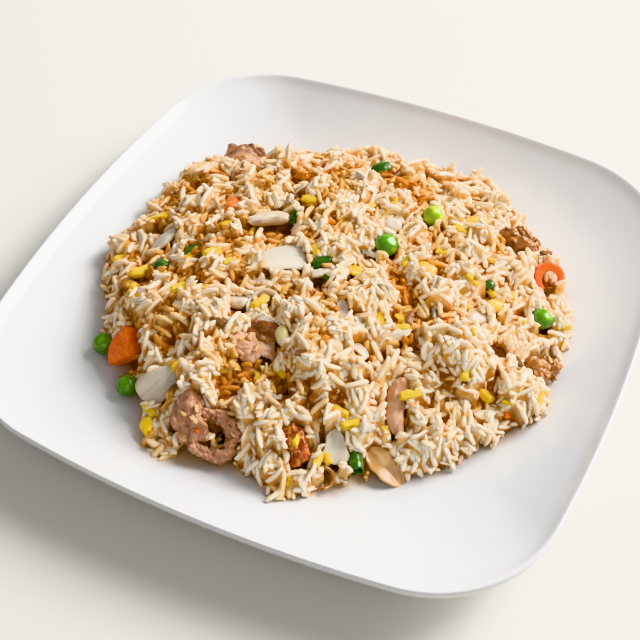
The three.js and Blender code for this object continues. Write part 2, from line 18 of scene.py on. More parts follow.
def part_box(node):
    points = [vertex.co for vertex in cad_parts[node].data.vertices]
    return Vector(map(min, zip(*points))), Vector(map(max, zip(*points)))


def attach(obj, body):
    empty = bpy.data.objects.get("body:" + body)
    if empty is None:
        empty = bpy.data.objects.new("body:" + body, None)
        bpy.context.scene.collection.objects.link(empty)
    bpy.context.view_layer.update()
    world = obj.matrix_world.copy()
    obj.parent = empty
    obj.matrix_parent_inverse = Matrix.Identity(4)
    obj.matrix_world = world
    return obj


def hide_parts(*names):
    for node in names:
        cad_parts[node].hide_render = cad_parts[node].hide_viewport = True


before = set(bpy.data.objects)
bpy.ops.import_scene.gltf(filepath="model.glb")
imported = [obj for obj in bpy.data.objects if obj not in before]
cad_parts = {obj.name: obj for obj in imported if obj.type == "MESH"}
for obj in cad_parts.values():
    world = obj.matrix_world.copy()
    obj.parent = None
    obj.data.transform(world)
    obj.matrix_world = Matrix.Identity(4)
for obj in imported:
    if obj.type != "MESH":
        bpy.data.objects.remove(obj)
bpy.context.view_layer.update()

MM = 0.001
BODY = "root"
MIX_FIRST, MIX_SECOND, MIX_RESULT = 6, 7, 2
FULL_TURN = 6.28
Colour = tuple[float, float, float]
Point = tuple[float, float, float]

logging.basicConfig(level=logging.INFO, format="%(name)s: %(message)s")
log = logging.getLogger("fried_rice")


class Food(Enum):
    """What is on the plate: the name of each finish, and the material slot that it answers to."""

    RICE_BED = ("rice_bed", "rice")
    RICE_WHITE = ("rice_white", "rice")
    RICE_MILKY = ("rice_milky", "rice")
    RICE_PALE = ("rice_pale", "rice")
    RICE_CREAM = ("rice_cream", "rice")
    RICE_GOLDEN = ("rice_golden", "rice")
    RICE_SOY = ("rice_soy", "rice")
    PEA = ("pea_skin", "pea")
    PEA_PALE = ("pea_pale_skin", "pea_pale")
    CARROT = ("carrot_flesh", "carrot")
    SCALLION = ("scallion_green", "scallion")
    ONION = ("onion_flesh", "onion")
    ONION_BROWNED = ("onion_browned", "onion_browned")
    PORK = ("pork_meat", "pork")
    PORK_PINK = ("pork_pink", "pork")
    PORK_BROWNED = ("pork_browned", "pork_browned")
    EGG_PALE = ("egg_white_curd", "egg")
    CHARRED = ("charred_skin", "pork_browned")
    EGG = ("egg_curd", "egg")

    @property
    def label(self) -> str:
        """The finish's name."""
        return self.value[0]

    @property
    def slot(self) -> str:
        """The material slot that the finish answers to."""
        return self.value[1]


# --- Small tools ----------------------------------------------------------------------------
def mm(*sizes: float) -> tuple[float, ...]:
    """Sizes in metres, from millimetres."""
    return tuple(size * MM for size in sizes)


def linear(code: str) -> tuple[float, float, float, float]:
    """A linear RGBA colour from a hex code such as "#e6cfa4"."""
    parts = [int(code[i:i + 2], 16) / 255 for i in (1, 3, 5)]
    return (*(p / 12.92 if p <= 0.04045 else ((p + 0.055) / 1.055) ** 2.4 for p in parts), 1.0)


def deselect_all() -> None:
    """Leaves object mode with nothing selected."""
    if bpy.context.object and bpy.context.object.mode != "OBJECT":
        bpy.ops.object.mode_set(mode="OBJECT")
    bpy.ops.object.select_all(action="DESELECT")


class Editing:
    """Edit mode on one object, for the length of a with block."""

    def __init__(self, piece: bpy.types.Object) -> None:
        """Keeps the piece that is edited."""
        self.piece = piece

    def __enter__(self) -> bpy.types.Object:
        """Selects the piece alone, all over, and enters edit mode."""
        deselect_all()
        self.piece.select_set(True)
        bpy.context.view_layer.objects.active = self.piece
        bpy.ops.object.mode_set(mode="EDIT")
        bpy.ops.mesh.select_all(action="SELECT")
        return self.piece

    def __exit__(self, *_: object) -> None:
        """Returns to object mode."""
        bpy.ops.object.mode_set(mode="OBJECT")


def resized(value: Point) -> None:
    """Scales what is selected in edit mode about the origin."""
    bpy.ops.transform.resize(value=value, center_override=(0, 0, 0))


def newly_added(name: str) -> bpy.types.Object:
    """Names the object that the last primitive added.

    Args:
        name: the piece's name.

    Returns:
        The object.
    """
    piece = bpy.context.object
    piece.name = piece.data.name = name
    return piece


def apply_modifier(piece: bpy.types.Object, kind: str, **settings: object) -> None:
    """Adds a modifier to a piece and applies it.

    Args:
        piece: the piece.
        kind: Blender's name of the modifier.
        settings: its settings.
    """
    deselect_all()
    piece.select_set(True)
    bpy.context.view_layer.objects.active = piece
    modifier = piece.modifiers.new(kind.lower(), kind)
    for key, value in settings.items():
        setattr(modifier, key, value)
    bpy.ops.object.modifier_apply(modifier=modifier.name)


def smoothed(piece: bpy.types.Object, levels: int) -> None:
    """Rounds a piece by subdivision."""
    apply_modifier(piece, "SUBSURF", levels=levels, render_levels=levels)


def coordinates(piece: bpy.types.Object) -> np.ndarray:
    """The places of a piece's vertices, one row each."""
    places = np.empty(3 * len(piece.data.vertices))
    piece.data.vertices.foreach_get("co", places)
    return places.reshape(-1, 3)


def move_to(piece: bpy.types.Object, places: np.ndarray) -> None:
    """Moves a piece's vertices to new places."""
    piece.data.vertices.foreach_set("co", np.ascontiguousarray(places, float).ravel())
    piece.data.update()


def faces_outwards(piece: bpy.types.Object) -> None:
    """Turns every face of a closed piece outwards."""
    with Editing(piece):
        bpy.ops.mesh.normals_make_consistent(inside=False)


class Clouds:
    """Smooth seeded noise in space, about -1 to 1, read for many places at once."""

    SIDE = 32
    CORNERS = [(i, j, k) for i in (0, 1) for j in (0, 1) for k in (0, 1)]

    def __init__(self, seed: int) -> None:
        """Fills the lattice."""
        self.lattice = np.random.default_rng(seed).uniform(-1, 1, (self.SIDE,) * 3)

    def octave(self, places: np.ndarray) -> np.ndarray:
        """Noise with bumps one unit wide."""
        cell = np.floor(places).astype(int)
        part = places - cell
        part = part * part * (3 - 2 * part)
        total = np.zeros(len(places))
        for corner in self.CORNERS:
            near = (cell + corner) % self.SIDE
            weight = np.prod(np.where(np.array(corner) == 1, part, 1 - part), axis=1)
            total += weight * self.lattice[near[:, 0], near[:, 1], near[:, 2]]
        return total

    def read(self, places: np.ndarray, octaves: int = 3) -> np.ndarray:
        """Noise with finer bumps on the wide ones.

        Args:
            places: points, one row each, in units of the widest bump.
            octaves: how many widths, each half the one before.

        Returns:
            The noise at each point.
        """
        return sum(self.octave(places * 2 ** k + 5.3 * k) / 2 ** k for k in range(octaves))


def normals(piece: bpy.types.Object) -> np.ndarray:
    """The directions that a piece's vertices face, one row each."""
    facing = np.empty(3 * len(piece.data.vertices), np.float32)
    piece.data.vertex_normals.foreach_get("vector", facing)
    return facing.reshape(-1, 3)


def roughened(piece: bpy.types.Object, height: float, size: float, seed: int,
              stretch: Point = (1.0, 1.0, 1.0)) -> None:
    """Pushes a piece's vertices in and out along their normals by seeded noise.

    Args:
        piece: the piece.
        height: the largest push.
        size: width of a bump.
        seed: picks the noise.
        stretch: how much longer the bumps are along each axis.
    """
    places = coordinates(piece)
    push = Clouds(seed).read(places / (size * np.array(stretch)) + 10)
    move_to(piece, places + normals(piece) * height * push[:, None])


def store(piece: bpy.types.Object, name: str, values: np.ndarray) -> None:
    """Keeps a number or a vector for each vertex, for the piece's material to read."""
    kind = "FLOAT_VECTOR" if values.ndim == 2 else "FLOAT"
    attribute = piece.data.attributes.new(name, kind, "POINT")
    attribute.data.foreach_set("vector" if values.ndim == 2 else "value",
                               values.astype(np.float32).ravel())


def mesh_piece(name: str, places: np.ndarray, corners: np.ndarray, starts: np.ndarray,
               values: dict[str, np.ndarray]) -> bpy.types.Object:
    """Makes one smooth piece from joined copies.

    Args:
        name: the piece's name.
        places: its vertices, one row each.
        corners: vertex numbers of all faces, one after another.
        starts: where each face starts in corners.
        values: numbers kept for each vertex.

    Returns:
        The piece.
    """
    mesh = bpy.data.meshes.new(name)
    mesh.vertices.add(len(places))
    mesh.vertices.foreach_set("co", places.astype(np.float32).ravel())
    mesh.loops.add(len(corners))
    mesh.loops.foreach_set("vertex_index", corners.astype(np.int32))
    mesh.polygons.add(len(starts))
    mesh.polygons.foreach_set("loop_start", starts.astype(np.int32))
    mesh.update(calc_edges=True)
    mesh.polygons.foreach_set("use_smooth", np.ones(len(starts), bool))
    piece = bpy.data.objects.new(name, mesh)
    bpy.context.scene.collection.objects.link(piece)
    for key, value in values.items():
        store(piece, key, value)
    return piece


def blurred(field_: np.ndarray, width: float) -> np.ndarray:
    """A height field blurred by a bell curve.

    Args:
        field_: a square grid.
        width: standard deviation of the bell, in cells.

    Returns:
        The blurred grid.
    """
    waves = np.fft.fftfreq(len(field_))
    bell = np.exp(-2 * (math.pi * waves * width) ** 2)
    return np.real(np.fft.ifft2(np.fft.fft2(field_) * bell[:, None] * bell[None, :]))


def finished(piece: bpy.types.Object, material: bpy.types.Material,
             nodes: Sequence[str] = ()) -> bpy.types.Object:
    """Dresses a piece, hangs it on the body and hides the solids that it replaces.

    Args:
        piece: the piece, in place.
        material: its finish.
        nodes: names of the solids that it replaces.

    Returns:
        The piece.
    """
    piece.data.materials.clear()
    piece.data.materials.append(material)
    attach(piece, BODY)
    if nodes:
        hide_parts(*nodes)
    return piece


# --- Finishes -------------------------------------------------------------------------------
class Effects:
    """Shader node groups that several finishes share, each built once."""

    def __init__(self) -> None:
        """Builds the groups."""
        self.mottle = self._mottle()
        self.relief = self._relief()

    @staticmethod
    def _group(name: str, inputs: dict[str, float], outputs: Sequence[str]) -> bpy.types.NodeTree:
        """An empty group with a Vector input, number inputs and number outputs.

        Args:
            name: the group's name.
            inputs: name and default of each number input.
            outputs: names of the outputs.

        Returns:
            The group.
        """
        group = bpy.data.node_groups.new(name, "ShaderNodeTree")
        group.interface.new_socket("Vector", in_out="INPUT", socket_type="NodeSocketVector")
        for key, value in inputs.items():
            socket = group.interface.new_socket(key, in_out="INPUT", socket_type="NodeSocketFloat")
            socket.default_value = value
        for key in outputs:
            group.interface.new_socket(key, in_out="OUTPUT", socket_type="NodeSocketFloat")
        group.nodes.new("NodeGroupInput").name = "in"
        group.nodes.new("NodeGroupOutput").name = "out"
        return group

    def _mottle(self) -> bpy.types.NodeTree:
        """Soft patches: Mask is 1 inside a patch and 0 outside."""
        group = self._group("mottled_patches", {"Scale": 300.0, "Level": 0.5, "Softness": 0.12}, ["Mask"])
        nodes, links = group.nodes, group.links
        cloud = nodes.new("ShaderNodeTexNoise")
        cloud.inputs["Detail"].default_value = 3.0
        low = nodes.new("ShaderNodeMath")
        low.operation = "SUBTRACT"
        high = nodes.new("ShaderNodeMath")
        high.operation = "ADD"
        spread = nodes.new("ShaderNodeMapRange")
        spread.interpolation_type = "SMOOTHSTEP"
        given = nodes["in"].outputs
        links.new(given["Vector"], cloud.inputs["Vector"])
        links.new(given["Scale"], cloud.inputs["Scale"])
        for limit in (low, high):
            links.new(given["Level"], limit.inputs[0])
            links.new(given["Softness"], limit.inputs[1])
        links.new(cloud.outputs["Fac"], spread.inputs["Value"])
        links.new(low.outputs[0], spread.inputs["From Min"])
        links.new(high.outputs[0], spread.inputs["From Max"])
        links.new(spread.outputs["Result"], nodes["out"].inputs["Mask"])
        return group

    def _relief(self) -> bpy.types.NodeTree:
        """Fine surface relief: a Height, and a Roughness that wanders between two values."""
        group = self._group("moist_relief", {"Scale": 900.0, "Smooth": 0.2, "Dull": 0.5},
                            ["Height", "Roughness"])
        nodes, links = group.nodes, group.links
        fine = nodes.new("ShaderNodeTexNoise")
        fine.inputs["Detail"].default_value = 4.0
        wander = nodes.new("ShaderNodeTexNoise")
        wander.inputs["Detail"].default_value = 2.0
        slower = nodes.new("ShaderNodeMath")
        slower.operation = "MULTIPLY"
        slower.inputs[1].default_value = 0.3
        spread = nodes.new("ShaderNodeMapRange")
        spread.inputs["From Min"].default_value = 0.35
        spread.inputs["From Max"].default_value = 0.65
        given = nodes["in"].outputs
        links.new(given["Vector"], fine.inputs["Vector"])
        links.new(given["Vector"], wander.inputs["Vector"])
        links.new(given["Scale"], fine.inputs["Scale"])
        links.new(given["Scale"], slower.inputs[0])
        links.new(slower.outputs[0], wander.inputs["Scale"])
        links.new(wander.outputs["Fac"], spread.inputs["Value"])
        links.new(given["Smooth"], spread.inputs["To Min"])
        links.new(given["Dull"], spread.inputs["To Max"])
        links.new(fine.outputs["Fac"], nodes["out"].inputs["Height"])
        links.new(spread.outputs["Result"], nodes["out"].inputs["Roughness"])
        return group


def placed_group(nodes: bpy.types.Nodes, group: bpy.types.NodeTree, **values: float) -> bpy.types.Node:
    """A node group placed in a material with its own values."""
    node = nodes.new("ShaderNodeGroup")
    node.node_tree = group
    for key, value in values.items():
        node.inputs[key].default_value = value
    return node


def colour_mix(nodes: bpy.types.Nodes, first: str, second: str) -> bpy.types.Node:
    """A colour mix from the first colour to the second."""
    node = nodes.new("ShaderNodeMix")
    node.data_type = "RGBA"
    node.inputs[MIX_FIRST].default_value = linear(first)
    node.inputs[MIX_SECOND].default_value = linear(second)
    return node


def attribute_node(nodes: bpy.types.Nodes, name: str) -> bpy.types.Node:
    """A node that reads what the piece stores under a name."""
    node = nodes.new("ShaderNodeAttribute")
    node.attribute_name = name
    return node


def new_material(name: str) -> bpy.types.Material:
    """A material with Blender's standard shader."""
    material = bpy.data.materials.new(name)
    material.use_nodes = True
    return material


@dataclass(frozen=True)
class FoodFinish:
    """A moist, slightly see-through food surface.

    The base turns to the deep colour by the piece's own tone, and to the patch colour in patches; by rim it
    is painted deeper at the edges that the camera sees edge-on, as painted shade.
    """

    base: str
    deep: str
    patch: str
    patch_scale: float = 260.0
    patch_level: float = 0.56
    patch_softness: float = 0.1
    stretch: Point = (1.0, 1.0, 1.0)
    smooth: float = 0.25
    dull: float = 0.5
    relief_scale: float = 900.0
    relief_depth: float = 0.12 * MM
    subsurface: float = 0.3
    glow: Point = (1.0, 0.55, 0.3)
    glow_depth: float = 1.2 * MM
    coat: float = 0.25
    coat_roughness: float = 0.15
    specular: float = 0.4
    # rim: how much the colour is painted deeper at grazing view, as painted shade at the edges.
    rim: float = 0.0

    def build(self, effects: Effects, name: str) -> bpy.types.Material:
        """Makes the material.

        Args:
            effects: the shared node groups.
            name: the material's name.

        Returns:
            The material.
        """
        material = new_material(name)
        nodes, links = material.node_tree.nodes, material.node_tree.links
        shader = nodes["Principled BSDF"]
        own, tone = attribute_node(nodes, "own_place"), attribute_node(nodes, "tone")
        along = nodes.new("ShaderNodeMapping")
        along.inputs["Scale"].default_value = self.stretch
        links.new(own.outputs["Vector"], along.inputs["Vector"])

        patches = placed_group(nodes, effects.mottle, Scale=self.patch_scale, Level=self.patch_level,
                               Softness=self.patch_softness)
        links.new(along.outputs["Vector"], patches.inputs["Vector"])
        by_tone = colour_mix(nodes, self.base, self.deep)
        by_patch = colour_mix(nodes, self.base, self.patch)
        links.new(tone.outputs["Fac"], by_tone.inputs["Factor"])
        links.new(by_tone.outputs[MIX_RESULT], by_patch.inputs[MIX_FIRST])
        links.new(patches.outputs["Mask"], by_patch.inputs["Factor"])
        links.new(self._rim_shaded(material, by_patch.outputs[MIX_RESULT]), shader.inputs["Base Color"])

        relief = placed_group(nodes, effects.relief, Scale=self.relief_scale, Smooth=self.smooth,
                              Dull=self.dull)
        links.new(along.outputs["Vector"], relief.inputs["Vector"])
        bump = nodes.new("ShaderNodeBump")
        bump.inputs["Distance"].default_value = self.relief_depth
        links.new(relief.outputs["Height"], bump.inputs["Height"])
        links.new(bump.outputs["Normal"], shader.inputs["Normal"])
        links.new(relief.outputs["Roughness"], shader.inputs["Roughness"])

        for socket, value in {"Specular IOR Level": self.specular, "Subsurface Weight": self.subsurface,
                              "Subsurface Radius": self.glow, "Subsurface Scale": self.glow_depth,
                              "Coat Weight": self.coat, "Coat Roughness": self.coat_roughness}.items():
            shader.inputs[socket].default_value = value
        return material

    def _rim_shaded(self, material: bpy.types.Material, colour: bpy.types.NodeSocket) -> bpy.types.NodeSocket:
        """The colour, painted deeper at the rim that the camera sees edge-on: painted shade standing in for
        light passing through the thin rim.
        """
        nodes, links = material.node_tree.nodes, material.node_tree.links
        edge = nodes.new("ShaderNodeLayerWeight")
        edge.inputs["Blend"].default_value = 0.45
        share = nodes.new("ShaderNodeMath")
        share.operation = "MULTIPLY"
        share.inputs[1].default_value = self.rim
        mix = colour_mix(nodes, self.base, self.deep)
        links.new(edge.outputs["Facing"], share.inputs[0])
        links.new(share.outputs[0], mix.inputs["Factor"])
        links.new(colour, mix.inputs[MIX_FIRST])
        return mix.outputs[MIX_RESULT]


@dataclass(frozen=True)
class GlazeFinish:
    """White porcelain glaze, with oil from the rice on it where the stain attribute says."""

    name: str = "porcelain_glaze"
    white: str = "#d3d4d6"
    cool: str = "#cccfd4"
    oil: str = "#dcb98a"
    roughness: float = 0.09
    ripple_scale: float = 26.0
    ripple_depth: float = 0.35 * MM

    def build(self, effects: Effects) -> bpy.types.Material:
        """Makes the material.

        Args:
            effects: the shared node groups.

        Returns:
            The material.
        """
        material = new_material(self.name)
        nodes, links = material.node_tree.nodes, material.node_tree.links
        shader = nodes["Principled BSDF"]
        place = nodes.new("ShaderNodeTexCoord")
        clouds = placed_group(nodes, effects.mottle, Scale=18.0, Level=0.5, Softness=0.3)
        links.new(place.outputs["Object"], clouds.inputs["Vector"])
        body = colour_mix(nodes, self.white, self.cool)
        links.new(clouds.outputs["Mask"], body.inputs["Factor"])
        stain = attribute_node(nodes, "stain")
        oiled = colour_mix(nodes, self.white, self.oil)
        links.new(body.outputs[MIX_RESULT], oiled.inputs[MIX_FIRST])
        links.new(stain.outputs["Fac"], oiled.inputs["Factor"])
        links.new(oiled.outputs[MIX_RESULT], shader.inputs["Base Color"])
        relief = placed_group(nodes, effects.relief, Scale=self.ripple_scale, Smooth=self.roughness,
                              Dull=self.roughness + 0.05)
        links.new(place.outputs["Object"], relief.inputs["Vector"])
        links.new(relief.outputs["Roughness"], shader.inputs["Roughness"])
        bump = nodes.new("ShaderNodeBump")
        bump.inputs["Distance"].default_value = self.ripple_depth
        links.new(relief.outputs["Height"], bump.inputs["Height"])
        links.new(bump.outputs["Normal"], shader.inputs["Normal"])
        shader.inputs["Coat Weight"].default_value = 0.3
        shader.inputs["Coat Roughness"].default_value = 0.04
        return material


class Palette:
    """All finishes of the dish, built once."""

    # rim paints the rice grains' edges deeper by the view angle, as painted shade.
    RICE = dict(smooth=0.4, dull=0.62, relief_depth=0.12 * MM, relief_scale=600.0, subsurface=0.55,
                glow=(1.0, 0.84, 0.6), glow_depth=0.9 * MM, coat=0.0, specular=0.22, rim=0.45)
    FOODS = {
        Food.RICE_BED: FoodFinish("#f6d698", "#945010", "#d89a44", **RICE),
        Food.RICE_WHITE: FoodFinish("#fff3e2", "#e6a650", "#fae4c4", patch_level=0.6, **RICE),
        Food.RICE_MILKY: FoodFinish("#fef0da", "#e6a650", "#f8deb6", patch_level=0.58, **RICE),
        Food.RICE_PALE: FoodFinish("#fdeace", "#e4a24a", "#f8d8a8", patch_level=0.58, **RICE),
        Food.RICE_CREAM: FoodFinish("#fae0b4", "#d88e34", "#f2c884", **RICE),
        Food.RICE_GOLDEN: FoodFinish("#efc37a", "#bc6e1a", "#dc9e46", **RICE),
        Food.RICE_SOY: FoodFinish("#d2903e", "#944c0a", "#b87024", **RICE),
        Food.PEA: FoodFinish("#528c0c", "#2f6004", "#78a81c", patch_scale=420.0, patch_level=0.6,
                    smooth=0.16, dull=0.34, relief_depth=0.08 * MM, subsurface=0.2, glow=(0.5, 1.0, 0.15),
                    glow_depth=1.5 * MM, coat=0.5, coat_roughness=0.08),
        Food.PEA_PALE: FoodFinish("#98b420", "#789816", "#bccc48", patch_scale=320.0, smooth=0.2, dull=0.4,
                    subsurface=0.25, glow=(0.8, 1.0, 0.2), coat=0.4),
        Food.CARROT: FoodFinish("#f07004", "#dc5802", "#f88a18", patch_scale=500.0, patch_level=0.58,
                    stretch=(0.35, 1.0, 1.0), smooth=0.24, dull=0.46, subsurface=0.15,
                    glow=(1.0, 0.5, 0.12), glow_depth=0.8 * MM, coat=0.12, specular=0.3),
        Food.SCALLION: FoodFinish("#2c5a10", "#143c08", "#567e1c", patch_scale=600.0, patch_level=0.58,
                    stretch=(0.15, 1.0, 1.0), smooth=0.16, dull=0.36, subsurface=0.1, glow=(0.3, 1.0, 0.2),
                    coat=0.25, coat_roughness=0.15),
        Food.ONION: FoodFinish("#cfc8ba", "#b89a74", "#dcd4c6", patch_scale=500.0, stretch=(0.12, 1.0, 1.0),
                    smooth=0.14, dull=0.34, subsurface=0.5, glow=(1.0, 0.8, 0.55), glow_depth=2.0 * MM,
                    coat=0.5, coat_roughness=0.1),
        Food.ONION_BROWNED: FoodFinish("#c89a62", "#a8702e", "#d8b07a", patch_scale=420.0,
                    stretch=(0.2, 1.0, 1.0), smooth=0.15, dull=0.35, subsurface=0.4, glow=(1.0, 0.6, 0.3),
                    coat=0.5, coat_roughness=0.1),
        Food.PORK: FoodFinish("#dcb696", "#784430", "#b88664", patch_scale=300.0, patch_level=0.52,
                    patch_softness=0.2, stretch=(0.6, 1.0, 1.0), smooth=0.3, dull=0.6, relief_scale=560.0,
                    relief_depth=0.9 * MM, subsurface=0.25, glow=(1.0, 0.7, 0.5), coat=0.12),
        Food.PORK_PINK: FoodFinish("#dcac8c", "#7c4630", "#c08c6c", patch_scale=420.0, patch_level=0.5,
                    patch_softness=0.14, smooth=0.3, dull=0.6, relief_scale=700.0, relief_depth=0.9 * MM,
                    subsurface=0.25, glow=(1.0, 0.6, 0.4), coat=0.12),
        Food.PORK_BROWNED: FoodFinish("#c4905a", "#7c461e", "#a26a34", patch_scale=300.0,
                    patch_softness=0.2, stretch=(0.6, 1.0, 1.0), smooth=0.22, dull=0.5, relief_scale=620.0,
                    relief_depth=0.8 * MM, subsurface=0.25, glow=(1.0, 0.45, 0.2), coat=0.35),
        Food.EGG_PALE: FoodFinish("#f2e6a8", "#e2cf7c", "#f8f0cc", patch_scale=420.0, smooth=0.25, dull=0.5,
                    relief_depth=0.2 * MM, glow=(1.0, 0.8, 0.4), glow_depth=1.4 * MM),
        Food.CHARRED: FoodFinish("#a84618", "#5a1c0a", "#dc9238", patch_scale=420.0, patch_level=0.55,
                    smooth=0.16, dull=0.35, relief_depth=0.25 * MM, subsurface=0.15, glow=(1.0, 0.35, 0.1),
                    coat=0.5, coat_roughness=0.1),
        Food.EGG: FoodFinish("#ffd630", "#f8b206", "#ffe66c", patch_scale=420.0, patch_level=0.57,
                    smooth=0.25, dull=0.5, relief_depth=0.2 * MM, subsurface=0.1, glow=(1.0, 0.7, 0.15),
                    glow_depth=1.0 * MM, coat=0.1),
    }

    def __init__(self) -> None:
        """Builds the shared effects, then every finish."""
        effects = Effects()
        self.porcelain = GlazeFinish().build(effects)
        self.foods = {food: finish.build(effects, food.label) for food, finish in self.FOODS.items()}


# --- Plate ----------------------------------------------------------------------------------
@dataclass(frozen=True)
class Plate:
    """A square coupe plate with bulging sides, a rolled lip and a low foot ring."""

    half_side: float = 120 * MM
    side_bulge: float = 4.3 * MM
    corner_radius: float = 49.6 * MM
    height: float = 24 * MM
    floor: float = 6 * MM
    well_share: float = 0.52
    rise_curve: float = 1.9
    wall: float = 5 * MM
    columns: int = 192
    oil_reach: float = 2.6 * MM

    def radius(self, angle: np.ndarray) -> np.ndarray:
        """Distance from the middle to the outline.

        Args:
            angle: directions, in radians.

        Returns:
            The distances.
        """
        half_chord = self.half_side - self.corner_radius
        side_radius = (half_chord ** 2 + self.side_bulge ** 2) / (2 * self.side_bulge)
        side_centre = self.half_side - side_radius
        reach = side_radius - self.corner_radius
        corner_centre = (side_centre + math.sqrt(2 * reach ** 2 - side_centre ** 2)) / 2
        joint = math.atan2(corner_centre, corner_centre - side_centre)
        quarter = math.pi / 2
        turn = np.abs(angle - quarter * np.round(angle / quarter))
        on_side = self._ray(turn, side_centre, 0.0, side_radius)
        on_corner = self._ray(turn, corner_centre, corner_centre, self.corner_radius)
        seen = np.arctan2(np.sin(turn) * on_side, np.cos(turn) * on_side - side_centre)
        return np.where(seen <= joint, on_side, on_corner)

    @staticmethod
    def _ray(turn: np.ndarray, x: float, y: float, radius: float) -> np.ndarray:
        """Where rays from the middle leave a circle that holds it."""
        along = np.cos(turn) * x + np.sin(turn) * y
        return along + np.sqrt(np.maximum(along ** 2 - x * x - y * y + radius ** 2, 0.0))

    def face(self, share: np.ndarray | float) -> np.ndarray:
        """Height of the upper face at a share of the way from the middle to the edge."""
        rise = np.clip((np.asarray(share) - self.well_share) / (1 - self.well_share), 0, 1)
        return self.floor + (self.height - self.floor) * rise ** self.rise_curve

    def surface(self, x: np.ndarray, y: np.ndarray) -> np.ndarray:
        """Height of the upper face over points of the table."""
        return self.face(np.hypot(x, y) / self.radius(np.arctan2(y, x)))

    def _profile(self) -> list[tuple[float, float]]:
        """Share and height of each ring, from the middle out over the lip and back underneath."""
        upper = [(s, float(self.face(s))) for s in np.linspace(self.well_share, 0.97, 22)]
        flat = [(s, self.floor) for s in (0.1, 0.22, 0.34, 0.44, 0.49)]
        top = self.height
        lip = [(share, top - drop * MM) for share, drop in (
            (0.979, 1.15), (0.986, 0.5), (0.991, 0.1), (0.995, 0), (0.998, 0.3), (1.0, 1.1), (1.0, 2.2),
            (0.998, 3.4), (0.992, 4.6))]
        under = [(share - 0.01, float(self.face(share)) - self.wall)
                 for share in (0.965, 0.93, 0.88, 0.82, 0.76, 0.7, 0.64, 0.6)]
        foot_in, foot_out = self.well_share + 0.01, self.well_share + 0.045
        foot = [(foot_out + 0.006, 0.6 * MM), (foot_out, 0.0), (foot_in, 0.0), (foot_in - 0.008, 0.5 * MM),
                (foot_in - 0.015, 2 * MM), (0.3, 2 * MM), (0.1, 2 * MM)]
        return flat + upper + lip + under + foot

    def build(self, palette: Palette, ground: "Ground") -> bpy.types.Object:
        """Turns the plate and glazes it.

        Args:
            palette: the finishes.
            ground: where the rice lies, for the oil round its foot.

        Returns:
            The plate.
        """
        deselect_all()
        rings = self._profile()
        bpy.ops.mesh.primitive_circle_add(vertices=self.columns, radius=rings[0][0], fill_type="TRIFAN",
                                          location=(0, 0, rings[0][1]))
        plate = newly_added("plate_glazed")
        bpy.ops.object.transform_apply(location=True, rotation=False, scale=False)
        with Editing(plate):
            bpy.ops.mesh.select_all(action="DESELECT")
            bpy.ops.mesh.select_mode(type="EDGE")
            bpy.ops.mesh.select_non_manifold()
            for (share, level), (wider, higher) in zip(rings, rings[1:]):
                bpy.ops.mesh.extrude_edges_move(TRANSFORM_OT_translate={"value": (0, 0, higher - level)})
                grow = wider / share
                resized((grow, grow, 1))
            bpy.ops.mesh.edge_face_add()
            bpy.ops.mesh.poke()
            bpy.ops.mesh.select_mode(type="VERT")
        places = coordinates(plate)
        angle = np.arctan2(places[:, 1], places[:, 0])
        share = np.hypot(places[:, 0], places[:, 1])
        reach = share * self.radius(angle)
        places[:, 0], places[:, 1] = reach * np.cos(angle), reach * np.sin(angle)
        move_to(plate, places)
        faces_outwards(plate)
        plate.data.shade_smooth()
        store(plate, "stain", self._stain(plate, ground))
        return finished(plate, palette.porcelain, ["plate"])

    def _stain(self, plate: bpy.types.Object, ground: "Ground") -> np.ndarray:
        """How oily each vertex of the plate is: full under the rice, fading just outside it."""
        places = coordinates(plate)
        near = blurred(ground.covered.astype(float), self.oil_reach / ground.step)
        oily = np.clip(1.5 * ground.read(near, places[:, 0], places[:, 1]), 0, 1)
        inside = np.maximum(np.abs(places[:, 0]), np.abs(places[:, 1])) < ground.reach
        return np.where(inside & (places[:, 2] > 4 * MM), oily ** 1.3, 0.0) * 0.75


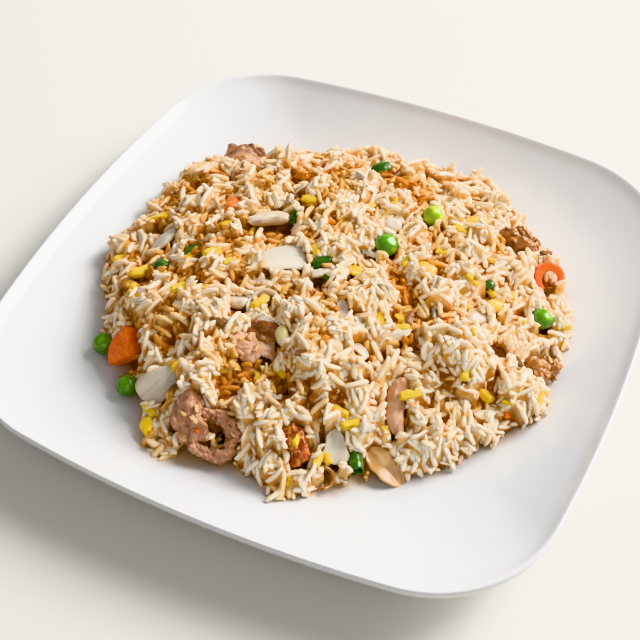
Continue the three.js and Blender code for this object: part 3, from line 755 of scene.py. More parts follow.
# --- Ground ---------------------------------------------------------------------------------
class Ground:
    """Height field over the plate: what lies there now, and how high the heap is to stand."""

    def __init__(self, plate: Plate, reach: float = 108 * MM, step: float = 0.55 * MM,
                 lap: float = 0.8 * MM) -> None:
        """Reads the heap's solid from above.

        Args:
            plate: the plate that carries the heap.
            reach: half the width of the field.
            step: width of a cell.
            lap: how far grains may lap over a topping's rim.
        """
        self.reach, self.step, self.lap = reach, step, lap
        axis = np.arange(-reach, reach + step / 2, step)
        self.count = len(axis)
        self.x, self.y = np.meshgrid(axis, axis)
        self.plate = plate.surface(self.x, self.y)
        self.top = self.plate.copy()
        heap = self.seen_from_above(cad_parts["rice_heap"])
        self.covered = ~np.isnan(heap)
        self.bare = np.where(self.covered, np.nan_to_num(heap), self.plate)
        self.smooth = self.plate + blurred(self.bare - self.plate, 2.2 * MM / step)
        self.blocked = np.zeros_like(self.covered)
        self.topped = np.zeros_like(self.covered)
        self.rice = self.plate.copy()

    def cell(self, values: np.ndarray) -> np.ndarray:
        """Cell numbers of places along one axis, kept inside the field."""
        return np.clip(np.rint((values + self.reach) / self.step).astype(int), 0, self.count - 1)

    def read(self, field_: np.ndarray, x: np.ndarray, y: np.ndarray) -> np.ndarray:
        """Values of a field at places on the table."""
        return field_[self.cell(np.asarray(y)), self.cell(np.asarray(x))]

    def window(self, x: float, y: float, reach: float) -> tuple[slice, slice]:
        """Rows and columns of the cells within reach of a place."""
        rows, columns = (self.cell(np.array((at - reach, at + reach))) for at in (y, x))
        return slice(int(rows[0]), int(rows[1]) + 1), slice(int(columns[0]), int(columns[1]) + 1)

    def seen_from_above(self, piece: bpy.types.Object) -> np.ndarray:
        """Highest point of a piece over each cell, and NaN beside it."""
        mesh = piece.data
        places = coordinates(piece)
        tree = BVHTree.FromPolygons([tuple(p) for p in places], [tuple(p.vertices) for p in mesh.polygons])
        seen = np.full((self.count, self.count), np.nan)
        low, high = places.min(0), places.max(0)
        columns = range(self.cell(low[0]), self.cell(high[0]) + 1)
        down, start = Vector((0, 0, -1)), float(high[2]) + 0.01
        for row in range(self.cell(low[1]), self.cell(high[1]) + 1):
            for column in columns:
                hit = tree.ray_cast(Vector((self.x[row, column], self.y[row, column], start)), down)[0]
                if hit is not None:
                    seen[row, column] = hit.z
        return seen

    def add(self, piece: bpy.types.Object) -> None:
        """Lays a topping, in place, on the field. Grains may lap over its rim alone."""
        seen = self.seen_from_above(piece)
        there = ~np.isnan(seen)
        inner = blurred(there.astype(float), self.lap / self.step) > 0.5
        self.top = np.where(there, np.maximum(self.top, np.nan_to_num(seen)), self.top)
        self.blocked |= inner
        self.topped |= there

    def normal(self, x: float, y: float, reach: float = 3 * MM) -> Vector:
        """Direction that the heap's smooth surface faces at a place."""
        def height(px: float, py: float) -> float:
            """Height of the smooth surface at a place."""
            return float(self.read(self.smooth, np.array(px), np.array(py)))
        across = (height(x + reach, y) - height(x - reach, y)) / (2 * reach)
        along = (height(x, y + reach) - height(x, y - reach)) / (2 * reach)
        return Vector((-across, -along, 1)).normalized()


# --- Toppings -------------------------------------------------------------------------------
@dataclass
class Topping:
    """A piece that lies on the heap where its solid does.

    It is modelled round the origin with its length along X, then leans with the heap's slope.
    """

    node: str
    finish: Food
    size: Point
    turn: float = 0.0
    tilt: float = 0.0
    roll: float = 0.0
    stand: float = 3.0 * MM
    shift: tuple[float, float] = (0.0, 0.0)
    lean: float = 1.0
    tone: float = 0.3
    seed: int = 1

    own_step: ClassVar[float] = 0.013

    def model(self) -> bpy.types.Object:
        """Models the piece round the origin."""
        raise NotImplementedError

    def matrix(self, ground: Ground) -> Matrix:
        """Where the piece goes: at the middle of its solid, leaning with the slope and clear of the rice."""
        low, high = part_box(self.node)
        middle = (low + high) / 2 + Vector((*self.shift, 0.0))
        level = float(ground.read(ground.smooth, np.array(middle.x), np.array(middle.y)))
        middle.z = max(middle.z, level + self.stand)
        normal = ground.normal(middle.x, middle.y)
        up = Vector((0, 0, 1))
        lean = up.rotation_difference(up.lerp(normal, self.lean)).to_matrix().to_4x4()
        turn, tilt, roll = (math.radians(angle) for angle in (self.turn, -self.tilt, self.roll))
        spin = Matrix.Rotation(turn, 4, "Z") @ Matrix.Rotation(tilt, 4, "Y") @ Matrix.Rotation(roll, 4, "X")
        return Matrix.Translation(middle) @ lean @ spin

    def build(self, palette: Palette, ground: Ground) -> bpy.types.Object:
        """Models, places and dresses the piece.

        Args:
            palette: the finishes.
            ground: the field that it lies on.

        Returns:
            The piece.
        """
        piece = self.model()
        piece.data.shade_smooth()
        places = coordinates(piece)
        store(piece, "own_place", places + self.own_step * self.seed)
        store(piece, "tone", self.tones(places))
        piece.data.transform(self.matrix(ground))
        piece.data.update()
        ground.add(piece)
        return finished(piece, palette.foods[self.finish], [self.node])

    def tones(self, places: np.ndarray) -> np.ndarray:
        """How deep in colour each vertex is, from 0 to 1."""
        return np.full(len(places), self.tone)


@dataclass
class Nugget(Topping):
    """A rounded lump: a ball that is stretched, blunted at its ends, hooked and dented."""

    blunt: float = 2.0
    hook: float = 0.0
    dimple: float = 0.0
    wobble: float = 0.45 * MM
    fine: float = 0.12 * MM

    def model(self) -> bpy.types.Object:
        """Models the lump."""
        deselect_all()
        bpy.ops.mesh.primitive_uv_sphere_add(segments=28, ring_count=20, radius=0.5)
        lump = newly_added(f"{self.node}_cooked")
        with Editing(lump):
            bpy.ops.transform.rotate(value=math.pi / 2, orient_axis="Y", center_override=(0, 0, 0))
            resized(self.size)
        places = coordinates(lump)
        along, across, up = (2 * places[:, i] / self.size[i] for i in range(3))
        end = np.clip(np.abs(along), 0, 0.999)
        places[:, 1:] *= ((1 - end ** self.blunt) ** (1 / self.blunt) / np.sqrt(1 - end ** 2))[:, None]
        places[:, 2] -= self.dimple * np.exp(-((along - 0.35) ** 2 + (across - 0.3) ** 2) / 0.12) * (up > 0)
        places[:, 1] += self.hook * (along ** 2 - 0.35)
        move_to(lump, places)
        lump.data.update()
        roughened(lump, self.wobble, 5 * MM, self.seed)
        roughened(lump, self.fine, 1.4 * MM, self.seed + 5)
        return lump

    def tones(self, places: np.ndarray) -> np.ndarray:
        """The lower side is painted deeper in colour, as shade."""
        return np.clip(self.tone + 0.15 - 0.9 * places[:, 2] / self.size[2], 0, 1)


@dataclass
class Pea(Nugget):
    """A cooked pea: a slightly dented ball with a soft dimple and faint wrinkles."""

    finish: Food = Food.PEA
    size: Point = mm(8.8, 8.6, 8.5)
    stand: float = 4.2 * MM
    dimple: float = 0.5 * MM
    wobble: float = 0.28 * MM
    fine: float = 0.05 * MM


@dataclass
class Leaf(Topping):
    """A thin bowed leaf or slab with a ragged outline."""

    thickness: float = 1.4 * MM
    bow: float = 1.0 * MM
    cup: float = 0.0
    wave: float = 0.2 * MM
    ragged: float = 0.08
    taper: float = 0.1
    pointed: float = 0.0
    rough: float = 0.12 * MM

    def model(self) -> bpy.types.Object:
        """Models the leaf."""
        deselect_all()
        bpy.ops.mesh.primitive_grid_add(x_subdivisions=12, y_subdivisions=7, size=2)
        leaf = newly_added(f"{self.node}_cooked")
        with Editing(leaf):
            resized((self.size[0] / 2, self.size[1] / 2, 1))
        places = coordinates(leaf)
        u, v = 2 * places[:, 0] / self.size[0], 2 * places[:, 1] / self.size[1]
        wander = np.random.default_rng(self.seed).uniform(0, FULL_TURN, 6)
        oval = np.sqrt(np.clip(1.02 - u ** 2, 0, 1))
        edge_y = (self.pointed * oval + (1 - self.pointed) * (1 - 0.2 * u ** 4) - self.taper * u
                  + self.ragged * (np.sin(5 * u + wander[0]) + np.sin(11 * u + wander[1])) * oval)
        edge_x = 1 - 0.1 * v ** 2 + self.ragged * (np.sin(4 * v + wander[2]) + np.sin(9 * v + wander[3]))
        places[:, 0] *= edge_x
        places[:, 1] *= edge_y
        places[:, 2] = (-self.bow * (u ** 2 - 0.4) - self.cup * (v ** 2 - 0.4)
                        + self.wave * np.sin(3 * u + wander[4]) * np.cos(2.4 * v + wander[5]))
        move_to(leaf, places)
        apply_modifier(leaf, "SOLIDIFY", thickness=self.thickness, offset=0.0)
        smoothed(leaf, 1)
        roughened(leaf, self.rough, 2.0 * MM, self.seed, (3.0, 1.0, 1.0))
        return leaf

    def tones(self, places: np.ndarray) -> np.ndarray:
        """The rim is deeper in colour than the middle."""
        u, v = 2 * places[:, 0] / self.size[0], 2 * places[:, 1] / self.size[1]
        return np.clip(self.tone + 0.5 * (np.maximum(np.abs(u), np.abs(v)) ** 4 - 0.3), 0, 1)


@dataclass
class Hoop(Topping):
    """A band standing on edge, curled round an open arc."""

    radius: float = 5 * MM
    sweep: float = 190.0
    band: float = 1.6 * MM
    tall: float = 3.6 * MM
    squash: float = 1.0
    rough: float = 0.25 * MM
    fine: float = 0.0

    def model(self) -> bpy.types.Object:
        """Models the band by spinning its section round an upright axis."""
        deselect_all()
        start = math.radians(-self.sweep / 2)
        bpy.ops.mesh.primitive_plane_add(size=1)
        hoop = newly_added(f"{self.node}_cooked")
        with Editing(hoop):
            bpy.ops.mesh.subdivide(number_cuts=1)
            resized((self.band, self.tall, 1))
        places = coordinates(hoop)
        reach = self.radius + places[:, 0]
        move_to(hoop, np.stack([reach * math.cos(start), reach * math.sin(start), places[:, 1]], 1))
        with Editing(hoop):
            bpy.ops.mesh.spin(steps=18, dupli=False, angle=math.radians(self.sweep), use_auto_merge=True,
                              center=(0, 0, 0), axis=(0, 0, 1))
            bpy.ops.mesh.select_all(action="SELECT")
            bpy.ops.mesh.normals_make_consistent(inside=False)
        smoothed(hoop, 3 if self.fine else 2)
        places = coordinates(hoop)
        places[:, 1] *= self.squash
        places[:, 2] *= 1 + 0.12 * np.sin(3 * np.arctan2(places[:, 1], places[:, 0]) + self.seed)
        move_to(hoop, places)
        roughened(hoop, self.rough, 2.2 * MM, self.seed)
        roughened(hoop, self.fine, 1.1 * MM, self.seed + 3)
        return hoop

    def matrix(self, ground: Ground) -> Matrix:
        """Where the band goes: its own middle comes to the middle of its solid."""
        half = math.radians(self.sweep / 2)
        low = math.cos(half) * self.radius if self.sweep < 360 else -self.radius
        return super().matrix(ground) @ Matrix.Translation((-(self.radius + low) / 2, 0, 0))


@dataclass
class Slice(Topping):
    """A torn slice of meat, bent along its length and rolled in across it."""

    size: Point = mm(20, 12, 3)
    stand: float = 1.8 * MM
    bent: float = 60.0
    rolled: float = 60.0
    crumple: float = 1.1 * MM
    ragged: float = 0.12
    rough: float = 0.5 * MM
    levels: int = 1

    def model(self) -> bpy.types.Object:
        """Models the slice: a grid with a torn outline, given thickness."""
        deselect_all()
        bpy.ops.mesh.primitive_grid_add(x_subdivisions=26, y_subdivisions=16, size=2)
        meat = newly_added(f"{self.node}_cooked")
        flat = coordinates(meat)
        u, v = flat[:, 0], flat[:, 1]
        clouds = Clouds(self.seed)
        wander = np.stack([clouds.read(np.stack([2.2 * u + k, 2.2 * v, 0 * u + 7 * k], 1), 2)
                           for k in (1, 2, 3)], 1)
        length, width, thickness = self.size
        s = u * (1 - 0.25 * v ** 2 + self.ragged * wander[:, 0])
        t = v * (1 - 0.25 * u ** 2 + self.ragged * wander[:, 1])
        across, up = self._arc(t, width, self.rolled)
        along, droop = self._arc(s, length, self.bent)
        move_to(meat, np.stack([along, across, up + droop + self.crumple * wander[:, 2]], 1))
        meat.data.update()
        apply_modifier(meat, "SOLIDIFY", thickness=thickness, offset=0.0)
        smoothed(meat, self.levels)
        places = coordinates(meat)
        move_to(meat, places - (places.max(0) + places.min(0)) / 2)
        roughened(meat, self.rough, 3.0 * MM, self.seed, (2.0, 1.0, 1.0))
        roughened(meat, self.rough * 0.6, 1.1 * MM, self.seed + 3, (2.0, 1.0, 1.0))
        return meat

    @staticmethod
    def _arc(share: np.ndarray, length: float, turn: float) -> tuple[np.ndarray, np.ndarray]:
        """Where points at shares of a strip come when it is bent down through an angle in degrees."""
        angle = math.radians(turn)
        radius = length / max(angle, 1e-3)
        half = share * angle / 2
        return radius * np.sin(half), radius * (np.cos(half) - 1)

    def tones(self, places: np.ndarray) -> np.ndarray:
        """Tone wanders with the fibres."""
        wander = Clouds(self.seed + 9).read(places / (np.array([9, 2.6, 2.6]) * MM), 2)
        return np.clip(self.tone + 0.6 * wander, 0, 1)


@dataclass
class Wedge(Topping):
    """A quarter slice of a thick carrot round: two cut sides and one curved back."""

    sweep: float = 95.0

    def model(self) -> bpy.types.Object:
        """Models the slice: a cylinder cut down by two planes."""
        deselect_all()
        bpy.ops.mesh.primitive_cylinder_add(vertices=40, radius=1, depth=1)
        wedge = newly_added(f"{self.node}_cooked")
        half = math.radians(self.sweep / 2)
        with Editing(wedge):
            for side in (1, -1):
                bpy.ops.mesh.select_all(action="SELECT")
                bpy.ops.mesh.bisect(plane_co=(0, 0, 0), plane_no=(-math.sin(half), side * math.cos(half), 0),
                                    use_fill=True, clear_outer=True)
            bpy.ops.mesh.select_all(action="SELECT")
            bpy.ops.transform.translate(value=(-0.5, 0, 0))
            resized((self.size[1], self.size[0] / 1.45, self.size[2]))
        faces_outwards(wedge)
        apply_modifier(wedge, "BEVEL", width=0.9 * MM, segments=3, limit_method="ANGLE",
                       angle_limit=math.radians(35))
        apply_modifier(wedge, "REMESH", mode="VOXEL", voxel_size=0.45 * MM, use_smooth_shade=True)
        apply_modifier(wedge, "SMOOTH", factor=0.6, iterations=4)
        roughened(wedge, 0.3 * MM, 4 * MM, self.seed)
        roughened(wedge, 0.06 * MM, 0.9 * MM, self.seed)
        return wedge


def spoonful() -> list[Topping]:
    """Every topping of the dish, from the plate's rim inwards."""
    return [
        Pea("pea_on_rim", seed=3, turn=20),
        Pea("pea_at_foot", seed=7, turn=70),
        Pea("pea_on_crown", seed=11, turn=-40, size=mm(9.2, 9, 8.8), stand=5 * MM),
        Pea("pea_on_slope", seed=15, turn=120, size=mm(8.6, 8.3, 8.4), stand=5 * MM),
        Pea("pea_pale", finish=Food.PEA_PALE, seed=19, turn=70, size=mm(8.8, 8, 8), stand=9.2 * MM),
        Wedge("carrot_wedge", Food.CARROT, mm(17, 12.5, 7.5), turn=160, shift=mm(2.8, 5.0), stand=5 * MM,
              seed=2),
        Nugget("carrot_dice", Food.CARROT, mm(10.5, 6.2, 6), turn=-62, tilt=14, stand=6.2 * MM, blunt=4.0,
               shift=mm(0.6, -1.6), tone=0.0, seed=4),
        Hoop("carrot_curl", Food.CARROT, (0, 0, 0), turn=25, roll=48, stand=6.0 * MM, lean=0.0,
             shift=mm(-3.2, -7.4), radius=4.8 * MM, sweep=250, band=3.2 * MM, tall=3.6 * MM, squash=1.15,
             tone=0.0, seed=5),
        Nugget("carrot_chip", Food.CARROT, mm(5.4, 4.2, 3.4), stand=3.6 * MM, tone=0.3, seed=6),
        Leaf("scallion_ring_left", Food.SCALLION, mm(7.4, 6, 0), turn=27, tilt=10, stand=5 * MM,
             shift=mm(1.5, -3.2), thickness=1.1 * MM, bow=1.0 * MM, cup=0.8 * MM, seed=7),
        Leaf("scallion_fold_left", Food.SCALLION, mm(8, 6, 0), turn=-20, tilt=10, stand=4.6 * MM,
             shift=mm(1.0, -2.2), thickness=1.2 * MM, bow=1.2 * MM, cup=1.2 * MM, seed=8),
        Leaf("scallion_tucked", Food.SCALLION, mm(6.4, 4.4, 0), turn=80, tilt=35, stand=3.4 * MM,
             thickness=1.1 * MM, cup=0.8 * MM, seed=9),
        Leaf("scallion_wedge", Food.SCALLION, mm(8, 4.6, 0), turn=40, tilt=6, thickness=1.2 * MM,
             cup=1.2 * MM, taper=0.3, seed=10),
        Leaf("scallion_white", Food.ONION, mm(8.6, 4, 0), turn=33, thickness=1.3 * MM, bow=0.6 * MM,
             seed=11),
        Leaf("scallion_back", Food.SCALLION, mm(8.4, 5.6, 0), turn=40, tilt=8, stand=6.4 * MM, lean=0.0,
             shift=mm(2.8, -5.8), thickness=1.2 * MM, cup=1.2 * MM, seed=12),
        Leaf("scallion_right", Food.SCALLION, mm(5.4, 4, 0), turn=10, tilt=25, stand=3.6 * MM,
             thickness=1.1 * MM, cup=0.7 * MM, seed=13),
        Hoop("scallion_front", Food.SCALLION, (0, 0, 0), turn=25, roll=50, stand=4.2 * MM,
             shift=mm(-1.2, 1.0), radius=2.3 * MM, sweep=320, band=0.9 * MM, tall=7 * MM, rough=0.1 * MM,
             tone=0.0, seed=14),
        Leaf("onion_slab_crown", Food.ONION, mm(18, 13, 0), turn=36, shift=mm(1.3, -2.8), stand=2.0 * MM,
             thickness=1.2 * MM, bow=0.9 * MM, cup=-0.7 * MM, ragged=0.025, taper=-0.12, seed=15, tone=0.1),
        Leaf("onion_slab_left", Food.ONION, mm(17, 11.5, 0), turn=56, tilt=27, roll=37, stand=6.0 * MM,
             lean=0.0, thickness=1.0 * MM, shift=mm(4.6, -4.0), bow=0.6 * MM, taper=0.22, pointed=0.1,
             ragged=0.05, tone=0.1, seed=16),
        Nugget("onion_slab_back", Food.ONION, mm(16.5, 7, 4.4), turn=26, shift=mm(3.4, -4.6), blunt=2.8,
               wobble=1.1 * MM, tone=0.8, seed=17),
        Nugget("onion_strip_left", Food.ONION, mm(15.5, 6, 3.8), turn=64, stand=4.4 * MM,
               shift=mm(2.0, -2.6), blunt=2.6, hook=0.8 * MM, tone=0.1, seed=18),
        Nugget("onion_dice", Food.ONION, mm(7.4, 6.8, 5), turn=20, stand=4.8 * MM, lean=0.3,
               shift=mm(1.0, -2.0), blunt=3.2, tone=0.0, seed=19),
        Hoop("onion_hoop", Food.ONION, (0, 0, 0), turn=-10, radius=6.4 * MM, sweep=215, band=1.5 * MM,
             tall=4 * MM, seed=20),
        Leaf("onion_tongue", Food.ONION, mm(9, 5, 0), turn=16, thickness=1.3 * MM, bow=1.3 * MM,
             pointed=0.6, seed=21),
        Nugget("onion_curl", Food.ONION, mm(8, 6, 4.4), turn=15, blunt=2.6, hook=1.2 * MM, seed=22),
        Leaf("onion_petal_centre", Food.ONION, mm(11, 4.6, 0), turn=-58, thickness=1.3 * MM, bow=0.8 * MM,
             pointed=0.6, seed=23),
        Leaf("onion_petal_front", Food.ONION, mm(9.6, 5.6, 0), turn=-32, tilt=10, thickness=1.3 * MM,
             pointed=0.5, seed=24),
        Leaf("onion_petal_right", Food.ONION, mm(10.4, 5, 0), turn=50, thickness=1.3 * MM, pointed=0.5,
             seed=25),
        Nugget("onion_knob", Food.ONION, mm(9, 6.6, 4.6), turn=50, stand=4.2 * MM, blunt=2.8,
               wobble=0.8 * MM, tone=0.8, seed=26),
        Leaf("onion_slab_front", Food.ONION, mm(13, 8.6, 0), turn=-62, stand=3.4 * MM, shift=mm(-1, -0.6),
             thickness=1.1 * MM, bow=0.6 * MM, cup=-0.6 * MM, taper=-0.36, ragged=0.05, tone=0.0, seed=27),
        Leaf("onion_leaf_foot", Food.ONION_BROWNED, mm(18.5, 9.6, 0), turn=-20, tilt=-4, stand=3.4 * MM,
             shift=mm(-0.4, 1.8), thickness=0.9 * MM, bow=1.0 * MM, cup=-1.2 * MM, pointed=0.85,
             ragged=0.05, wave=0.6 * MM, tone=0.0, seed=28),
        Hoop("onion_hoop_browned", Food.ONION_BROWNED, (0, 0, 0), turn=-30, stand=3 * MM,
             shift=mm(-1.2, 2.6), radius=3.9 * MM, sweep=260, band=1.2 * MM, tall=3.2 * MM, tone=0.9,
             seed=29),
        Slice("pork_back", Food.PORK, mm(19, 15, 3), turn=22, roll=42, lean=0.0, stand=7 * MM, bent=70,
              rolled=40, crumple=2.0 * MM, ragged=0.2, tone=0.45, seed=30),
        Slice("pork_centre", Food.PORK, mm(19, 12, 1.6), turn=24, stand=3.4 * MM, bent=30, rolled=50,
              ragged=0.26, rough=0.5 * MM, tone=0.0, seed=31),
        Slice("pork_centre_dark", Food.PORK_BROWNED, mm(12, 9, 2.6), turn=20, stand=3.4 * MM, bent=60,
              rolled=90, tone=0.9, seed=32),
        Slice("pork_front_left", Food.PORK_PINK, mm(19, 12, 3), turn=-65, stand=3.4 * MM,
              shift=mm(3.4, 2.4), bent=60, rolled=80, crumple=2.8 * MM, ragged=0.3, rough=0.6 * MM,
              levels=2, tone=0.35, seed=33),
        Hoop("pork_front_curl", Food.PORK_PINK, (0, 0, 0), turn=-20, stand=5.6 * MM, shift=mm(-5.2, 3.6),
             radius=8.2 * MM, sweep=310, band=4.6 * MM, tall=5.6 * MM, squash=0.86, rough=1.3 * MM,
             fine=0.3 * MM, tone=0.35, seed=34),
        Nugget("pork_strip", Food.PORK, mm(20.5, 7, 7), turn=-69, stand=4.8 * MM, blunt=3.2, hook=1.6 * MM,
               wobble=0.9 * MM, tone=-0.15, seed=35),
        Slice("pork_right_back", Food.PORK_BROWNED, mm(15, 12, 4.4), turn=-20, stand=8 * MM, lean=0.4,
              shift=mm(2.2, -8.0), bent=80, rolled=90, crumple=2.4 * MM, ragged=0.28, rough=1.1 * MM,
              levels=2, tone=0.6, seed=36),
        Slice("pork_right", Food.PORK_BROWNED, mm(14, 11, 3.2), turn=36, stand=4.4 * MM, bent=90, rolled=90,
              crumple=2.2 * MM, ragged=0.26, rough=0.9 * MM, levels=2, tone=0.4, seed=37),
        Slice("pork_tucked", Food.PORK_BROWNED, mm(10, 7.6, 2.6), tone=0.9, seed=38),
        Slice("charred_bit", Food.CHARRED, mm(15, 7, 3.4), turn=-52, stand=3.2 * MM, bent=60, rolled=110,
              crumple=1.4 * MM, ragged=0.2, rough=0.6 * MM, tone=0.4, seed=39),
        Leaf("egg_strip_left", Food.EGG, mm(13, 5.6, 0), turn=12, stand=6 * MM, shift=mm(1.7, -3.6),
             thickness=1.8 * MM, bow=0.8 * MM, ragged=0.14, pointed=0.6, rough=0.35 * MM, seed=40),
        Leaf("egg_strip_back", Food.EGG, mm(10.5, 5, 0), turn=-22, tilt=8, stand=5.2 * MM,
             shift=mm(1.6, -3.0), thickness=1.8 * MM, bow=0.8 * MM, ragged=0.14, pointed=0.6,
             rough=0.3 * MM, seed=41),
        Leaf("egg_strip_right", Food.EGG, mm(10, 5.2, 0), turn=40, stand=4.6 * MM, lean=0.3,
             shift=mm(1.6, -3.4), thickness=2 * MM, bow=0.8 * MM, ragged=0.14, pointed=0.5, rough=0.35 * MM,
             seed=42),
        Nugget("egg_dice", Food.EGG, mm(7.4, 5, 4.6), turn=30, stand=3.8 * MM, blunt=3.0, seed=43),
        Nugget("egg_dice_pale", Food.EGG_PALE, mm(7.4, 5.6, 4.6), turn=-50, stand=3.8 * MM, blunt=3.0,
               seed=44),
        Leaf("egg_fold_crown", Food.EGG, mm(7.6, 5, 0), turn=10, thickness=1.8 * MM, ragged=0.14,
             pointed=0.5, rough=0.35 * MM, seed=45),
        Leaf("egg_fold_centre", Food.EGG, mm(6.6, 5, 0), turn=-10, thickness=1.8 * MM, ragged=0.14,
             pointed=0.5, rough=0.35 * MM, seed=46),
        Leaf("egg_shred_centre", Food.EGG, mm(8, 2.8, 0), turn=-48, thickness=1.5 * MM, bow=0.5 * MM,
             pointed=0.6, rough=0.3 * MM, seed=47),
        Leaf("egg_scrap_foot", Food.EGG, mm(8, 5, 0), turn=-56, thickness=2 * MM, bow=0.8 * MM, ragged=0.14,
             pointed=0.5, rough=0.35 * MM, seed=48),
    ]


# --- Rice -----------------------------------------------------------------------------------
@dataclass(frozen=True)
class GrainShape:
    """One kind of cooked grain, modelled once round the origin with its length along X."""

    name: str
    length: float
    width: float
    thickness: float
    curve: float = 0.0
    blunt: float = 3.0
    slant: float = 0.0
    lumps: float = 0.3 * MM
    seed: int = 1
    sides: int = 7
    rings: int = 6

    def model(self) -> tuple[np.ndarray, list[tuple[int, ...]]]:
        """Models the grain.

        Returns:
            Its vertices, and the vertex numbers of each face.
        """
        deselect_all()
        bpy.ops.mesh.primitive_uv_sphere_add(segments=self.sides, ring_count=self.rings, radius=0.5)
        grain = newly_added(self.name)
        with Editing(grain):
            bpy.ops.transform.rotate(value=math.pi / 2, orient_axis="Y", center_override=(0, 0, 0))
            resized((self.length, self.width, self.thickness))
        places = coordinates(grain)
        along = np.clip(2 * places[:, 0] / self.length, -1, 1)
        round_end = np.sqrt(np.maximum(1 - along ** 2, 1e-6))
        blunt_end = (1 - np.abs(along) ** self.blunt) ** (1 / self.blunt)
        swell = np.where(np.abs(along) < 0.999, blunt_end / round_end, 1.0)
        places[:, 1:] *= swell[:, None]
        places[:, 0] += self.slant * places[:, 1] * along
        places[:, 1] += self.curve * (along ** 2 - 0.35)
        places += self.lumps * Clouds(self.seed).octave(places / (1.3 * MM) + 10)[:, None] * [0, 1, 1]
        faces = [tuple(p.vertices) for p in grain.data.polygons]
        bpy.data.objects.remove(grain)
        return places, faces


@dataclass
class Scatter:
    """Copies of a few shapes that are joined in one piece."""

    name: str
    finish: Food
    places: list[np.ndarray] = field(default_factory=list)
    own: list[np.ndarray] = field(default_factory=list)
    tones: list[np.ndarray] = field(default_factory=list)
    faces: list[list[tuple[int, ...]]] = field(default_factory=list)

    def add(self, shape: tuple[np.ndarray, list[tuple[int, ...]]], matrix: np.ndarray, tone: float,
            sauce_and_shade: "SauceAndShade | None" = None, underside_shade: float = 0.0) -> None:
        """Adds one copy.

        Args:
            shape: its vertices and faces.
            matrix: a 3 by 4 matrix that places it.
            tone: how deep in colour it is.
            sauce_and_shade: deepens the colour of what lies low, as soy stain and painted shade, if given.
            underside_shade: how much deeper in colour its lower side is than its middle, as painted shade.
        """
        points, faces = shape
        placed = points @ matrix[:, :3].T + matrix[:, 3]
        # Painted shade: the lower side of each grain is deeper in colour and its top a little lighter.
        tone = tone - underside_shade * np.clip(points[:, 1:] @ matrix[2, 1:3] / MM, -1, 0.3)
        self.places.append(placed)
        self.own.append(points + 0.011 * len(self.own))
        self.tones.append(np.clip(tone + (sauce_and_shade.depth(placed) if sauce_and_shade else np.zeros(len(points))), 0, 1))
        self.faces.append(faces)

    def build(self, palette: Palette, nodes: Sequence[str] = ()) -> bpy.types.Object:
        """Joins the copies and dresses them.

        Args:
            palette: the finishes.
            nodes: solids that the piece stands for.

        Returns:
            The piece.
        """
        corners, starts, first, at = [], [], 0, 0
        for points, faces in zip(self.places, self.faces):
            for face in faces:
                starts.append(at)
                at += len(face)
                corners.extend(first + v for v in face)
            first += len(points)
        piece = mesh_piece(self.name, np.concatenate(self.places), np.array(corners), np.array(starts),
                           {"own_place": np.concatenate(self.own), "tone": np.concatenate(self.tones)})
        return finished(piece, palette.foods[self.finish], nodes)


class SauceAndShade:
    """Soy sauce and oil that have run down between the grains, with painted shade: the colour deepens with
    depth below the heap's surface.
    """

    def __init__(self, ground: Ground, reach: float, full: float, clear: float = 0.3 * MM) -> None:
        """Takes the heap's surface as it is now.

        Args:
            ground: the field, with everything on it.
            reach: how far round a place its height is averaged.
            full: depth below the surface at which the colour is deepest.
            clear: depth down to which the grains are clean and unshaded.
        """
        self.ground, self.full, self.clear = ground, full, clear
        self.level = blurred(ground.top, reach / ground.step)

    def depth(self, places: np.ndarray) -> np.ndarray:
        """How deep in colour each place is, as stain and painted shade, from 0 on the ridges to 1 far down.
        """
        level = self.ground.read(self.level, places[:, 0], places[:, 1])
        return np.clip((level - places[:, 2] - self.clear) / self.full, 0, 1)


@dataclass(frozen=True)
class Rest:
    """How a grain came to rest."""

    x: float
    y: float
    z: float
    yaw: float
    slope: float


